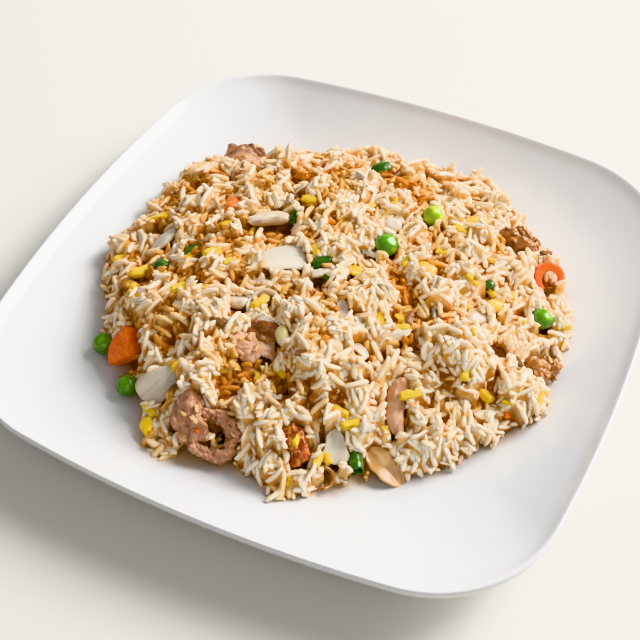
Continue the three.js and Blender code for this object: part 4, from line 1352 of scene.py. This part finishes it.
@dataclass
class RiceHeap:
    """The heap: a golden core, and grains dropped on it one by one until it is full."""

    seed: int = 5
    core_depth: float = 1.2 * MM
    sauce_shade_reach: float = 4.0 * MM
    sauce_shade_full: float = 4.5 * MM
    stick_gap: int = 1
    stick_reach: float = 0.4 * MM
    stick_fill: float = 2.2 * MM
    bed_depth: float = 0.6 * MM
    bed_rough: float = 0.22 * MM
    bed_steep_shade: float = 0.45
    soy_level: float = 0.34
    left_soy_and_shade: float = 0.34
    left_grain_shade: float = 0.42
    crease_soy_and_shade: float = 3.5 * MM
    crease_fine: float = 1.6 * MM
    crease_coarse: float = 6.5 * MM
    clump_spreads: tuple[float, float] = mm(21, 11)
    clump_heights: tuple[float, float] = mm(9, 8.5)
    swells: tuple[tuple[float, float, float, float], ...] = (
        (56, -28, 9, 4.5), (31, -59, 7, 3.5), (-32, -49, 7, 3), (67, -52, 7, 2), (38, -74, 7, 2.5),
        (6, -60, 8, -6), (28, -6, 6, -4.5), (-48, 9, 6, -3.5), (-57, -15, 7, -3.5), (-5, -50, 6, -3),
        (-22, -41, 5, -2), (21, 72, 6, -3), (-42, -32, 6, -3))
    swell_stain_and_shade: float = 0.07
    crumb_height: float = 0.7 * MM
    crumb_size: float = 1.6 * MM
    stain_share: float = 0.13
    press_reach: float = 2.3 * MM
    press_ahead: tuple[float, float] = mm(2.8, 5.8)
    press_depth: float = 3.4 * MM
    core_give: float = 1.6 * MM
    settle_depth: float = 0.8 * MM
    highest: float = 42.6 * MM
    tries: int = 5
    lapped: float = 0.08
    bridge: float = 1.3 * MM
    pits: int = 90
    pit_depth: float = 6 * MM
    loose: int = 320
    fallen: tuple[tuple[float, float, float], ...] = (
        (21, -90, 110), (20, -95, 60), (24, -86, 20), (29, -84, 80), (78, -40, 10), (74, -44, 140))
    clad_blur: float = 0.9 * MM
    clad_from: float = 0.6
    clad_count: int = 1700
    clad_lift: float = 0.16
    shades: tuple[Food, ...] = (Food.RICE_WHITE, Food.RICE_MILKY, Food.RICE_PALE, Food.RICE_CREAM,
                                Food.RICE_GOLDEN, Food.RICE_SOY)
    bounds: tuple[float, ...] = (0.07, 0.18, 0.32, 0.52, 0.76)
    underside_shade: float = 0.75
    loose_sink: float = 0.5
    loose_pitch: float = 0.25
    hidden: float = 1.6 * MM
    aligned: float = 0.4
    sink: float = 0.5
    flat: float = 0.2
    steep: float = 0.5
    steep_share: float = 0.25
    most: int = 9500
    most_misses: int = 300
    places_tried: int = 48
    place_spread: float = 0.4 * MM
    sizes: tuple[float, float] = (0.86, 1.14)
    loose_sizes: tuple[float, float] = (0.85, 1.1)
    steepest: float = 1.3
    slope_cost: float = 2.5 * MM
    blocked_cost: float = 40 * MM
    full: float = 0.15 * MM
    shapes: tuple[GrainShape, ...] = (
        GrainShape("grain_long", *mm(9.2, 2.5, 2.0, 0.5), 3.2, 0.4, seed=1),
        GrainShape("grain_curved", *mm(8.6, 2.6, 2.0, 1.1), 3.2, -0.4, seed=2),
        GrainShape("grain_slim", *mm(8.4, 2.2, 1.9, -0.5), 3.0, 0.3, seed=3),
        GrainShape("grain_plump", *mm(7.0, 2.9, 2.2, 0.5), 3.4, 0.3, seed=4),
        GrainShape("grain_flat", *mm(7.2, 3.2, 1.6, -0.6), 3.4, 0.8, seed=5),
        GrainShape("grain_half", *mm(5.0, 2.6, 2.0, 0.2), 3.8, 1.0, seed=6),
        GrainShape("grain_chip", *mm(3.6, 2.4, 1.9, 0.3), 3.6, -1.0, seed=7),
    )
    shares: tuple[float, ...] = (0.22, 0.2, 0.17, 0.12, 0.1, 0.12, 0.07)

    thick: np.ndarray = field(init=False)
    clumps: np.ndarray = field(init=False)
    near: np.ndarray = field(init=False)
    stains: np.ndarray = field(init=False)
    lay_of: np.ndarray = field(init=False)
    swelling: np.ndarray = field(init=False)

    def __post_init__(self) -> None:
        """Starts the random numbers."""
        self.random = np.random.default_rng(self.seed)

    def _measured(self, kind: int, size: float) -> tuple[float, float]:
        """Length and mean width of a grain of a kind and size."""
        shape = self.shapes[kind]
        return shape.length * size, (shape.width + shape.thickness) / 2 * size

    def clad(self, ground: Ground) -> list[tuple[int, Rest, float]]:
        """Lays grains flat against the steep sides of the clumps.

        Args:
            ground: the field, with the full heap on it.

        Returns:
            Shape number, rest and size factor of each grain.
        """
        surface = blurred(ground.rice, self.clad_blur / ground.step)
        rise_y, rise_x = np.gradient(surface, ground.step)
        steep = np.hypot(rise_x, rise_y)
        room = np.argwhere((steep > self.clad_from) & (self.thick > 0.1) & (self.near < 0.95))
        share = np.clip(steep[room[:, 0], room[:, 1]], 0, 2.5)
        grains: list[tuple[int, Rest, float]] = []
        for row, column in room[self.random.choice(len(room), self.clad_count, p=share / share.sum())]:
            kind = int(self.random.choice(len(self.shapes), p=self.shares))
            size = float(self.random.uniform(*self.loose_sizes))
            length, width = self._measured(kind, size)
            x, y = float(ground.x[row, column]), float(ground.y[row, column])
            downhill = math.atan2(rise_y[row, column], rise_x[row, column])
            yaw = float(self.random.uniform(0, 2 * math.pi))
            slope = float(np.clip(steep[row, column] * math.cos(yaw - downhill), -1.5, 1.5))
            lift = self.clad_lift * width * math.sqrt(1 + steep[row, column] ** 2)
            rest = Rest(x, y, float(surface[row, column]) + lift, yaw, slope)
            s = np.linspace(-0.35, 0.35, 5) * length / math.sqrt(1 + slope ** 2)
            blocked = ground.read(ground.blocked, x + s * math.cos(yaw), y + s * math.sin(yaw)).mean()
            if blocked < 0.3 and rest.z + abs(slope) * s[-1] < self.highest:
                self.lay(ground, rest, length, width)
                grains.append((kind, rest, size))
        return grains

    def _lumpy(self, ground: Ground, size: float) -> np.ndarray:
        """Random swells of one width, with a standard deviation of 1."""
        swells = blurred(self.random.normal(size=ground.x.shape), size / ground.step)
        return swells / swells.std()

    def _clumpy(self, ground: Ground, spread: float) -> np.ndarray:
        """Round clumps that press on each other, with creases between them.

        Args:
            ground: the field.
            spread: how far apart the clumps' middles are.

        Returns:
            A field from 0 in a crease to 1 on top of the highest clump.
        """
        field_ = np.zeros_like(ground.x)
        steps = np.arange(-ground.reach, ground.reach, spread)
        for row, across in enumerate(steps):
            for along in steps:
                x = along + spread * (0.5 * (row % 2) + self.random.uniform(-0.4, 0.4))
                y = across + spread * self.random.uniform(-0.4, 0.4)
                reach = spread * self.random.uniform(0.55, 1.05)
                rows, columns = ground.window(x, y, reach)
                away = (ground.x[rows, columns] - x) ** 2 + (ground.y[rows, columns] - y) ** 2
                share = away / reach ** 2
                swell = self.random.uniform(0.45, 1.0) * np.sqrt(np.clip(1 - share, 0, 1))
                field_[rows, columns] = np.maximum(field_[rows, columns], swell)
        return field_

    def _pitted(self, ground: Ground) -> np.ndarray:
        """Small deep holes, in the creases between the clumps."""
        holes = np.zeros_like(ground.x)
        low = np.argwhere((self.clumps < 0.46) & (ground.smooth > ground.plate + 8 * MM))
        for row, column in low[self.random.integers(len(low), size=self.pits)]:
            x, y = ground.x[row, column], ground.y[row, column]
            reach = self.random.uniform(2.2, 4.2) * MM
            rows, columns = ground.window(x, y, 2 * reach)
            away = np.hypot(ground.x[rows, columns] - x, ground.y[rows, columns] - y) / reach
            hole = self.pit_depth * self.random.uniform(0.5, 1) * np.exp(-away ** 4)
            holes[rows, columns] = np.maximum(holes[rows, columns], hole)
        return holes

    def stain_and_shade(self, ground: Ground) -> np.ndarray:
        """How stained the rice is over each cell, from 0 to 1, with painted shade: creases deeper than
        clumps, the left side deeper, hollows deeper than swells, partly soy and partly painted shade.
        """
        height = ground.rice - ground.smooth
        fine, coarse = (blurred(height, size / ground.step) for size in (self.crease_fine, self.crease_coarse))
        relief = fine - coarse
        # Partly soy, partly painted shade: the left side, away from the key light, is deeper in colour.
        left = self.left_soy_and_shade * np.clip(-ground.x / ground.reach, -0.6, 1)
        # Creases are deeper in colour than clumps, partly soy and partly painted shade.
        stain = self.soy_level + left - relief / self.crease_soy_and_shade + self.stain_share * self.stains
        # Hollows are deeper and swells lighter in colour, partly stain and partly painted shade and light.
        stain = np.clip(stain - self.swell_stain_and_shade * self.swelling / MM, 0, 1)
        return np.where(self.thick > 0.02, stain, 0.3 * stain)

    def target(self, ground: Ground) -> np.ndarray:
        """How high the finished heap stands over each cell."""
        self.thick = np.clip((ground.smooth - ground.plate) / (9 * MM), 0, 1)
        large, small = (self._clumpy(ground, spread) for spread in self.clump_spreads)
        self.stains = self._lumpy(ground, 6 * MM)
        self.lay_of = math.pi * self._lumpy(ground, 5 * MM)
        high, low = self.clump_heights
        lumps = high * (large - large.mean()) + low * (small - small.mean())
        self.clumps = np.clip(0.5 + lumps / sum(self.clump_heights), 0, 1)
        across, along = ground.x / MM, ground.y / MM
        self.swelling = sum(high * MM * np.exp(-((across - x) ** 2 + (along - y) ** 2) / reach ** 2)
                            for x, y, reach, high in self.swells)
        crumbs = self.crumb_height * self._lumpy(ground, self.crumb_size) - self._pitted(ground)
        ahead = [np.roll(ground.topped, (-round(far / ground.step), round(0.4 * far / ground.step)), (0, 1))
                 for far in self.press_ahead]
        self.near, calm = (np.clip(2 * blurred(over.astype(float), self.press_reach / ground.step), 0, 1)
                           for over in (ground.topped | ahead[0], ground.topped | ahead[0] | ahead[1]))
        pressed = self.press_depth * self.near + self.settle_depth
        lumps = (lumps + crumbs + self.swelling) * (1 - 0.7 * self.near)
        return ground.smooth + self.thick * (np.where(lumps > 0, lumps * (1 - 0.75 * calm), lumps) - pressed)

    def base(self, ground: Ground, target: np.ndarray) -> None:
        """Raises the field to where the grains are laid, and keeps a field of rice alone."""
        base = target - self.core_depth
        base = np.where(ground.topped, np.minimum(base, ground.top - self.core_give), base)
        ground.rice = np.where(self.thick > 0, np.maximum(ground.plate, base), ground.plate)
        ground.top = np.maximum(ground.top, ground.rice)

    def bed(self, palette: Palette, ground: Ground) -> bpy.types.Object:
        """Builds the bed of stuck grains that closes the gaps between the upper ones.

        Its surface follows the laid grains, softened where they touch.

        Args:
            palette: the finishes.
            ground: the field, with the grains on it.

        Returns:
            The bed.
        """
        rice = ground.rice - ground.plate
        near = range(-self.stick_gap, self.stick_gap + 1)
        near = [(i, j) for i in near for j in near]
        closed = np.max([np.roll(rice, at, (0, 1)) for at in near], axis=0)
        closed = np.min([np.roll(closed, at, (0, 1)) for at in near], axis=0)
        closed = blurred(np.minimum(closed, rice + self.stick_fill), self.stick_reach / ground.step)
        height = np.minimum(closed, rice + self.stick_fill) - self.bed_depth
        height += self.bed_rough * self._lumpy(ground, 0.75 * MM)
        inside = blurred(((height > 0.3 * MM) & (self.thick > 0.02)).astype(float), 1.5) > 0.6
        numbers = np.where(inside, np.cumsum(inside).reshape(inside.shape) - 1, -1)
        places = np.stack([ground.x[inside], ground.y[inside],
                           (ground.plate + np.maximum(height, 0.2 * MM))[inside]], 1)
        corners = np.stack([numbers[:-1, :-1], numbers[:-1, 1:], numbers[1:, 1:], numbers[1:, :-1]], -1)
        corners = corners.reshape(-1, 4)
        corners = corners[(corners >= 0).all(1)]
        level = blurred(ground.rice, self.sauce_shade_reach / ground.step)[inside]
        surface = blurred(ground.rice, self.clad_blur / ground.step)
        steep = np.hypot(*np.gradient(surface, ground.step))[inside]
        tone = ground.read(self.stain_and_shade(ground), places[:, 0], places[:, 1])
        # Painted shade: the bed is deeper in colour with depth below the smoothed rice and on steep faces,
        # on top of the stain.
        tone = tone + (level - places[:, 2]) / self.sauce_shade_full
        tone += self.bed_steep_shade * np.clip(steep - 0.5, 0, 1)
        bed = mesh_piece("rice_bed", places, corners.ravel(), np.arange(len(corners)) * 4,
                         {"own_place": places, "tone": np.clip(tone, 0, 1)})
        with Editing(bed):
            bpy.ops.mesh.delete_loose()
        upper = len(bed.data.vertices)
        with Editing(bed):
            bpy.ops.mesh.select_all(action="DESELECT")
            bpy.ops.mesh.select_mode(type="EDGE")
            bpy.ops.mesh.select_non_manifold()
            bpy.ops.mesh.fill_holes(sides=0)
            bpy.ops.mesh.select_mode(type="FACE")
            bpy.ops.mesh.poke()
            bpy.ops.mesh.select_mode(type="VERT")
        places = coordinates(bed)
        places[upper:, 2] = ground.plate.min()
        move_to(bed, places)
        faces_outwards(bed)
        return finished(bed, palette.foods[Food.RICE_BED], ["rice_heap"])

    def settle(self, ground: Ground, target: np.ndarray, x: float, y: float, yaws: np.ndarray, length: float,
               width: float) -> tuple[np.ndarray, np.ndarray, np.ndarray, np.ndarray]:
        """Finds how a grain rests at a place for several yaws: on the two highest supports either side.

        Args:
            ground: the field.
            target: how high the heap is to stand.
            x: place of the grain's middle.
            y: place of the grain's middle.
            yaws: directions to try.
            length: the grain's length.
            width: the grain's width.

        Returns:
            For each yaw the support's height under the middle, its slope, how much of it is blocked, and
            how far the grain would bridge above the heap's wanted surface.
        """
        along = np.linspace(-0.42, 0.42, 7) * length
        across = np.array([-0.28, 0.28]) * width
        cos, sin = np.cos(yaws)[:, None, None], np.sin(yaws)[:, None, None]
        px = x + along[None, :, None] * cos - across[None, None, :] * sin
        py = y + along[None, :, None] * sin + across[None, None, :] * cos
        heights = ground.read(ground.top, px, py).max(2)
        blocked = ground.read(ground.blocked, px, py).mean((1, 2))
        left, right = along[:3], along[4:]
        low, high = heights[:, :3, None], heights[:, None, 4:]
        gap = right[None, None, :] - left[None, :, None]
        level = (low * right[None, None, :] - high * left[None, :, None]) / gap
        slope = (high - low) / gap
        flat = level.reshape(len(yaws), -1)
        best = flat.argmax(1)
        chosen = flat[np.arange(len(yaws)), best]
        slopes = slope.reshape(len(yaws), -1)[np.arange(len(yaws)), best]
        middle = heights[:, 3]
        level, slopes = np.maximum(chosen, middle), np.where(middle > chosen, 0.5 * slopes, slopes)
        wanted = ground.read(target, px, py).mean(2)
        bridged = (level[:, None] + slopes[:, None] * along[None, :] - wanted).max(1)
        return level, slopes, blocked, bridged

    def lay(self, ground: Ground, rest: Rest, length: float, width: float) -> None:
        """Raises the field under a grain that has come to rest."""
        reach = length / 2 + width / 2
        rows, columns = ground.window(rest.x, rest.y, reach)
        dx, dy = ground.x[rows, columns] - rest.x, ground.y[rows, columns] - rest.y
        cos, sin = math.cos(rest.yaw), math.sin(rest.yaw)
        flat = 1 / math.sqrt(1 + rest.slope ** 2)
        s, w = dx * cos + dy * sin, dy * cos - dx * sin
        shape = 1 - (2 * s / (length * flat)) ** 2 - (2 * w / width) ** 2
        top = rest.z + rest.slope * s + width / 2 * np.sqrt(np.clip(shape, 0, 1)) / flat
        for field_ in (ground.top, ground.rice):
            patch = field_[rows, columns]
            field_[rows, columns] = np.where(shape > 0, np.maximum(patch, top), patch)

    def fill(self, ground: Ground, target: np.ndarray) -> list[tuple[int, Rest, float]]:
        """Drops grains where the heap is lowest until it is full.

        Args:
            ground: the field, with the core and the toppings on it.
            target: how high the heap is to stand.

        Returns:
            Shape number, rest and size factor of each grain.
        """
        grains: list[tuple[int, Rest, float]] = []
        room = np.argwhere((target > ground.plate + 1.0 * MM) & ~ground.blocked)
        misses = 0
        while len(grains) < self.most and misses < self.most_misses:
            picks = room[self.random.integers(len(room), size=self.places_tried)]
            lack = target[picks[:, 0], picks[:, 1]] - ground.top[picks[:, 0], picks[:, 1]]
            best = int(lack.argmax())
            if lack[best] < self.full:
                misses += 1
                continue
            row, column = picks[best]
            x = float(ground.x[row, column] + self.random.normal(0, self.place_spread))
            y = float(ground.y[row, column] + self.random.normal(0, self.place_spread))
            for broken in (False, True):
                kind = int(self.random.choice(len(self.shapes), p=self.shares))
                if broken:
                    kind = int(self.random.integers(len(self.shapes) - 2, len(self.shapes)))
                size = float(self.random.uniform(*self.sizes))
                length, width = self._measured(kind, size)
                yaws = self.random.uniform(0, 2 * math.pi, self.tries)
                if self.random.random() < self.aligned:
                    yaws = self.lay_of[row, column] + self.random.normal(0, 0.4, self.tries)
                level, slope, blocked, bridged = self.settle(ground, target, x, y, yaws, length, width)
                cost = (level + self.slope_cost * np.abs(slope) * self.random.uniform(0, 1)
                        + self.blocked_cost * (blocked > self.lapped)
                        + 2 * np.maximum(bridged - self.bridge, 0))
                pick = int(cost.argmin())
                if bridged[pick] < 2 * self.bridge and blocked[pick] <= self.lapped:
                    break
            if blocked[pick] > self.lapped or abs(slope[pick]) > self.steepest:
                misses += 1
                continue
            misses = 0
            steep = self.steep if self.random.random() < self.steep_share else self.flat
            pitch = float(np.clip(math.atan(float(slope[pick])) + self.random.normal(0, steep), -1.0, 1.0))
            z = float(level[pick]) + width * (0.5 - self.sink)
            rest = Rest(x, y, z, float(yaws[pick]), math.tan(pitch))
            if z + abs(math.sin(pitch)) * length / 2 > self.highest:
                continue
            self.lay(ground, rest, length, width)
            grains.append((kind, rest, size))
        return grains

    def strew(self, ground: Ground, target: np.ndarray) -> list[tuple[int, Rest, float]]:
        """Drops a few long grains on the full heap, more on its clumps than in its creases.

        Args:
            ground: the field, with the heap on it.
            target: how high the heap stands.

        Returns:
            Shape number, rest and size factor of each grain.
        """
        grains: list[tuple[int, Rest, float]] = []
        room = np.argwhere((self.thick > 0.15) & (self.near < 0.35))
        for row, column in room[self.random.integers(len(room), size=2 * self.loose)]:
            if len(grains) >= self.loose or self.random.random() > 0.25 + self.clumps[row, column]:
                continue
            kind, size = int(self.random.integers(3)), float(self.random.uniform(*self.loose_sizes))
            length, width = self._measured(kind, size)
            x, y = float(ground.x[row, column]), float(ground.y[row, column])
            yaws = self.lay_of[row, column] + self.random.normal(0, 0.7, self.tries)
            level, slope, blocked, bridged = self.settle(ground, target, x, y, yaws, length, width)
            pick = int((level + self.blocked_cost * (blocked > self.lapped) + bridged).argmin())
            pitch = math.atan(float(slope[pick])) + float(self.random.normal(0, self.loose_pitch))
            z = float(level[pick]) + width * (0.5 - self.loose_sink)
            rest = Rest(x, y, z, float(yaws[pick]), math.tan(pitch))
            low = blocked[pick] <= self.lapped and abs(pitch) < 1.0
            if low and rest.z + abs(math.sin(pitch)) * length / 2 < self.highest:
                self.lay(ground, rest, length, width)
                grains.append((kind, rest, size))
        for x, y, yaw in self.fallen:
            x, y, yaw = x * MM, y * MM, math.radians(yaw)
            level, slope, _, _ = self.settle(ground, target, x, y, np.array([yaw]), 7 * MM, 2 * MM)
            rest = Rest(x, y, float(level[0]) + 0.85 * MM, yaw, float(np.clip(slope[0], -0.5, 0.5)))
            grains.append((2, rest, 0.95))
        return grains

    def build(self, palette: Palette, ground: Ground) -> None:
        """Fills the heap and joins its grains by kind.

        Args:
            palette: the finishes.
            ground: the field, with the toppings on it.
        """
        target = self.target(ground)
        self.base(ground, target)
        grains = self.fill(ground, target) + self.clad(ground)
        Crumbs().build(palette, ground)
        grains += self.strew(ground, target)
        self.bed(palette, ground)
        log.info("heap: %d grains", len(grains))
        models = [shape.model() for shape in self.shapes]
        joined = [Scatter(shade.label, shade) for shade in self.shades]
        stain_and_shade = self.stain_and_shade(ground)
        sauce_and_shade = SauceAndShade(ground, self.sauce_shade_reach, self.sauce_shade_full)
        for kind, rest, size in grains:
            shape = self.shapes[kind]
            if self._cover(ground, rest, shape.length * size) > self.hidden:
                continue
            # The grain's colour is picked from the stain and painted shade over its place.
            stain = float(ground.read(stain_and_shade, np.array(rest.x), np.array(rest.y))) + self.random.normal(0, 0.1)
            shade = joined[int(np.searchsorted(self.bounds, stain))]
            # Painted shade: grains on the left, away from the key light, are deeper in colour.
            tone = self.random.uniform(-0.1, 0.25) + self.left_grain_shade * -rest.x / ground.reach
            shade.add(models[kind], self._placing(rest, size), tone, sauce_and_shade, self.underside_shade)
        for scatter in joined:
            piece = scatter.build(palette)
            piece.data.calc_loop_triangles()
            log.info("%s: %d grains, %d triangles", scatter.name, len(scatter.places),
                     len(piece.data.loop_triangles))

    @staticmethod
    def _cover(ground: Ground, rest: Rest, length: float) -> float:
        """How deep a grain's least covered part lies under what was laid later."""
        s = np.linspace(-0.4, 0.4, 5) * length
        x, y = rest.x + s * math.cos(rest.yaw), rest.y + s * math.sin(rest.yaw)
        return float((ground.read(ground.top, x, y) - rest.z - rest.slope * s).min())

    def _placing(self, rest: Rest, size: float) -> np.ndarray:
        """The 3 by 4 matrix that puts a grain where it rests."""
        turn = (Matrix.Rotation(rest.yaw, 3, "Z") @ Matrix.Rotation(-math.atan(rest.slope), 3, "Y")
                @ Matrix.Rotation(float(self.random.uniform(0, 2 * math.pi)), 3, "X"))
        stretch = size * np.diag([1.0, *self.random.uniform(0.82, 1.14, 2)])
        return np.column_stack([np.array(turn) @ stretch, [rest.x, rest.y, rest.z]])


# --- Crumbs ---------------------------------------------------------------------------------
@dataclass
class Crumbs:
    """Small bits that lie on the full heap, joined in one piece for each food."""

    seed: int = 21
    sunk: float = 0.32
    kinds: int = 5
    rough: float = 0.4
    beds: tuple[tuple[str, Food, float], ...] = (
        ("egg_crumbs", Food.EGG, 1.4), ("carrot_crumbs", Food.CARROT, 1.0),
        ("scallion_crumbs", Food.SCALLION, 1.1), ("onion_crumbs", Food.ONION, 1.2),
        ("pork_crumbs", Food.PORK_BROWNED, 1.2), ("rice_crumbs", Food.RICE_CREAM, 1.0))

    PLACES = {
        "egg_crumbs": ((-38, 2, 2.9), (-36, -20, 3.3), (-75, 64, 4.0), (-70, 64, 3.4), (-8, -1, 3.7),
            (10, -26, 2.4), (2, 30, 2.9), (9, 85, 3.3), (40, 35, 4.1), (27, 7, 3.3), (53, 11, 4.1),
            (55, 4, 2.0), (60, 16, 2.4), (68, 19, 2.4), (55, 28, 2.4), (36, -21, 3.7), (34, -16, 2.4),
            (63, -16, 2.0), (-87, -22, 4.1), (-72, -30, 4.9), (-70, -40, 3.7), (-64, -43, 2.9),
            (-47, -40, 4.5), (-16, -33, 4.5), (-33, -68, 3.7), (-4, -60, 3.3), (3, -55, 3.7),
            (20, -77, 2.4), (22, -88, 2.4), (29, -78, 3.7), (31, -75, 3.3), (30, -61, 4.1), (35, -63, 4.1),
            (50, -44, 4.9), (65, -28, 3.7), (73, -27, 4.5), (92, -18, 4.1), (90, 19, 3.7), (82, -27, 2.4),
            (-79, 67, 4.5), (-73, 67, 4.1), (-22, 23, 4.1), (-45, -17, 4.5), (-38, -83, 3.7),
            (-40, -35, 2.9), (-55, -20, 2.4), (-21, 89, 2.4), (10, 37, 2.4), (37, 20, 2.9), (75, 10, 2.0),
            (68, 45, 2.4), (46, -57, 2.4)),
        "carrot_crumbs": ((23, 50, 2.0), (-27, -55, 2.0), (83, -29, 2.9), (-15, -87, 2.0), (72, 43, 3.7),
            (-52, -13, 2.0)),
        "scallion_crumbs": ((67, 43, 2.0), (-42, 48, 1.2), (-24, 13, 2.4), (2, -12, 2.9), (-20, -44, 2.4),
            (33, 45, 1.6)),
        "onion_crumbs": ((12, 7, 4.6), (22, -27, 4.8), (-30, 22, 3.8), (45, -8, 3.6), (58, 30, 3.8),
            (-60, -48, 3.8), (6, -66, 4.0), (-8, 44, 3.6), (-48, 40, 3.8), (-84, -10, 3.6), (41, -62, 4.2)),
        "pork_crumbs": ((38, -16, 3.8), (72, 55, 3.4), (64, 64, 3.8), (90, 6, 3.6), (-64, 66, 3.4),
            (-26, -48, 3.8), (-12, -80, 3.4), (10, -52, 3.2), (80, -8, 3.4), (-30, -74, 3.0)),
        "rice_crumbs": ((-22, -84, 2.2), (-17, -85, 3.0), (-7, -76, 2.4), (-2, -79, 2.6), (-3, -82, 2.0),
            (-11, -89, 2.2), (-22, -89, 1.8), (-19, -90, 2.4), (-5, -84, 2.8), (-18, -81, 3.0),
            (-11, -86, 2.6), (-27, -79, 2.2), (56, 72, 2.2), (60, 70, 3.0), (62, 71, 3.4), (58, 68, 2.6),
            (88, 5, 2.6), (90, 2, 2.2), (-81, 63, 2.4), (-70, 56, 2.4), (-17, -53, 3.0), (-13, -48, 2.6),
            (-9, -51, 2.8), (-15, -50, 2.2)),
    }

    def _bit(self, seed: int) -> tuple[np.ndarray, list[tuple[int, ...]]]:
        """Models a crumb one unit long: a torn, slightly flat lump."""
        deselect_all()
        bpy.ops.mesh.primitive_cube_add(size=0.8)
        bit = newly_added(f"crumb_{seed}")
        with Editing(bit):
            bpy.ops.mesh.subdivide(number_cuts=2, smoothness=0.0, fractal=1.6, fractal_along_normal=0.3,
                                   seed=seed)
            resized((1.5, 0.62, 0.5))
        smoothed(bit, 1)
        roughened(bit, self.rough * 0.4, 0.35, seed)
        shape = coordinates(bit), [tuple(p.vertices) for p in bit.data.polygons]
        bpy.data.objects.remove(bit)
        return shape

    def build(self, palette: Palette, ground: Ground) -> None:
        """Lays the crumbs.

        Args:
            palette: the finishes.
            ground: the field, with the full heap on it.
        """
        random = np.random.default_rng(self.seed)
        shapes = [self._bit(seed) for seed in range(self.kinds)]
        level = blurred(ground.top, 1.0 * MM / ground.step)
        for name, food, swell in self.beds:
            bits = Scatter(name, food)
            for x, y, size in self.PLACES[name]:
                width = size * MM * swell
                x, y = x * MM, y * MM
                high = float(ground.read(level, np.array(x), np.array(y))) + width * (0.5 - self.sunk)
                turn = (Matrix.Rotation(random.uniform(0, FULL_TURN), 3, "Z")
                        @ Matrix.Rotation(random.normal(0, 0.5), 3, "X"))
                matrix = np.column_stack([np.array(turn) * width, [x, y, high]])
                bits.add(shapes[int(random.integers(self.kinds))], matrix, float(random.uniform(0, 0.4)))
            log.info("%s: %d bits", name, len(bits.places))
            ground.add(bits.build(palette))


# --- Studio ---------------------------------------------------------------------------------
@dataclass(frozen=True)
class Studio:
    """A pale floor, a soft light from behind on the right, a weaker fill, and the camera."""

    azimuth: float = 25.204
    elevation: float = 48.963
    roll: float = -0.325
    distance: float = 466.67 * MM
    target: Point = (-5.52 * MM, -2.408 * MM, 0.0)
    lens: float = 62.80
    sensor: float = 36.0
    sky: str = "#ffffff"
    sky_strength: float = 0.365
    key_place: Point = (0.93, 1.32, 1.0)
    key_width: float = 1.3
    key_power: float = 94.0
    key_colour: Colour = (1.0, 0.98, 0.95)
    fill_place: Point = (0.75, -0.75, 0.9)
    fill_width: float = 0.9
    fill_power: float = 4.5
    fill_colour: Colour = (1.0, 0.9, 0.74)
    floor_width: float = 6.0
    floor_colour: str = "#d9d7d3"

    def build(self) -> None:
        """Sets up floor, lights and camera."""
        deselect_all()
        bpy.ops.mesh.primitive_plane_add(size=self.floor_width)
        floor = newly_added("floor")
        floor.data.materials.append(self._floor_finish())
        world = bpy.data.worlds.new("studio")
        world.use_nodes = True
        world.node_tree.nodes["Background"].inputs["Color"].default_value = linear(self.sky)
        world.node_tree.nodes["Background"].inputs["Strength"].default_value = self.sky_strength
        bpy.context.scene.world = world
        self._softbox("key_light", self.key_place, self.key_width, self.key_power, self.key_colour)
        self._softbox("fill_light", self.fill_place, self.fill_width, self.fill_power, self.fill_colour)
        self._camera()
        bpy.context.scene.view_settings.view_transform = "Khronos PBR Neutral"

    def _floor_finish(self) -> bpy.types.Material:
        """Plain pale paper."""
        material = new_material("pale_paper")
        shader = material.node_tree.nodes["Principled BSDF"]
        shader.inputs["Base Color"].default_value = linear(self.floor_colour)
        shader.inputs["Roughness"].default_value = 0.7
        return material

    @staticmethod
    def _softbox(name: str, place: Point, width: float, power: float, colour: Colour) -> None:
        """An area light that faces the dish."""
        light = bpy.data.lights.new(name, "AREA")
        light.size, light.energy, light.color = width, power, colour
        lamp = bpy.data.objects.new(name, light)
        lamp.location = place
        lamp.rotation_euler = Vector(place).to_track_quat("Z", "Y").to_euler()
        bpy.context.scene.collection.objects.link(lamp)

    def _camera(self) -> None:
        """The camera, orbiting its target."""
        camera = bpy.data.cameras.new("view")
        camera.lens, camera.sensor_width, camera.clip_start = self.lens, self.sensor, 0.01
        eye = bpy.data.objects.new("view", camera)
        across, up = math.radians(self.azimuth), math.radians(self.elevation)
        away = Vector((math.cos(up) * math.sin(across), -math.cos(up) * math.cos(across), math.sin(up)))
        turn = (Matrix.Rotation(across, 4, "Z") @ Matrix.Rotation(math.pi / 2 - up, 4, "X")
                @ Matrix.Rotation(math.radians(self.roll), 4, "Z"))
        eye.matrix_world = Matrix.Translation(Vector(self.target) + away * self.distance) @ turn
        bpy.context.scene.collection.objects.link(eye)
        bpy.context.scene.camera = eye


def main() -> None:
    """Builds the dish in order: finishes, plate, toppings, rice, studio."""
    palette = Palette()
    plate = Plate()
    ground = Ground(plate)
    log.info("ground: %d cells", ground.count ** 2)
    log.info("built %s", plate.build(palette, ground).name)
    for topping in spoonful():
        log.info("built %s", topping.build(palette, ground).name)
    RiceHeap().build(palette, ground)
    Studio().build()


if __name__ == "__main__":
    main()
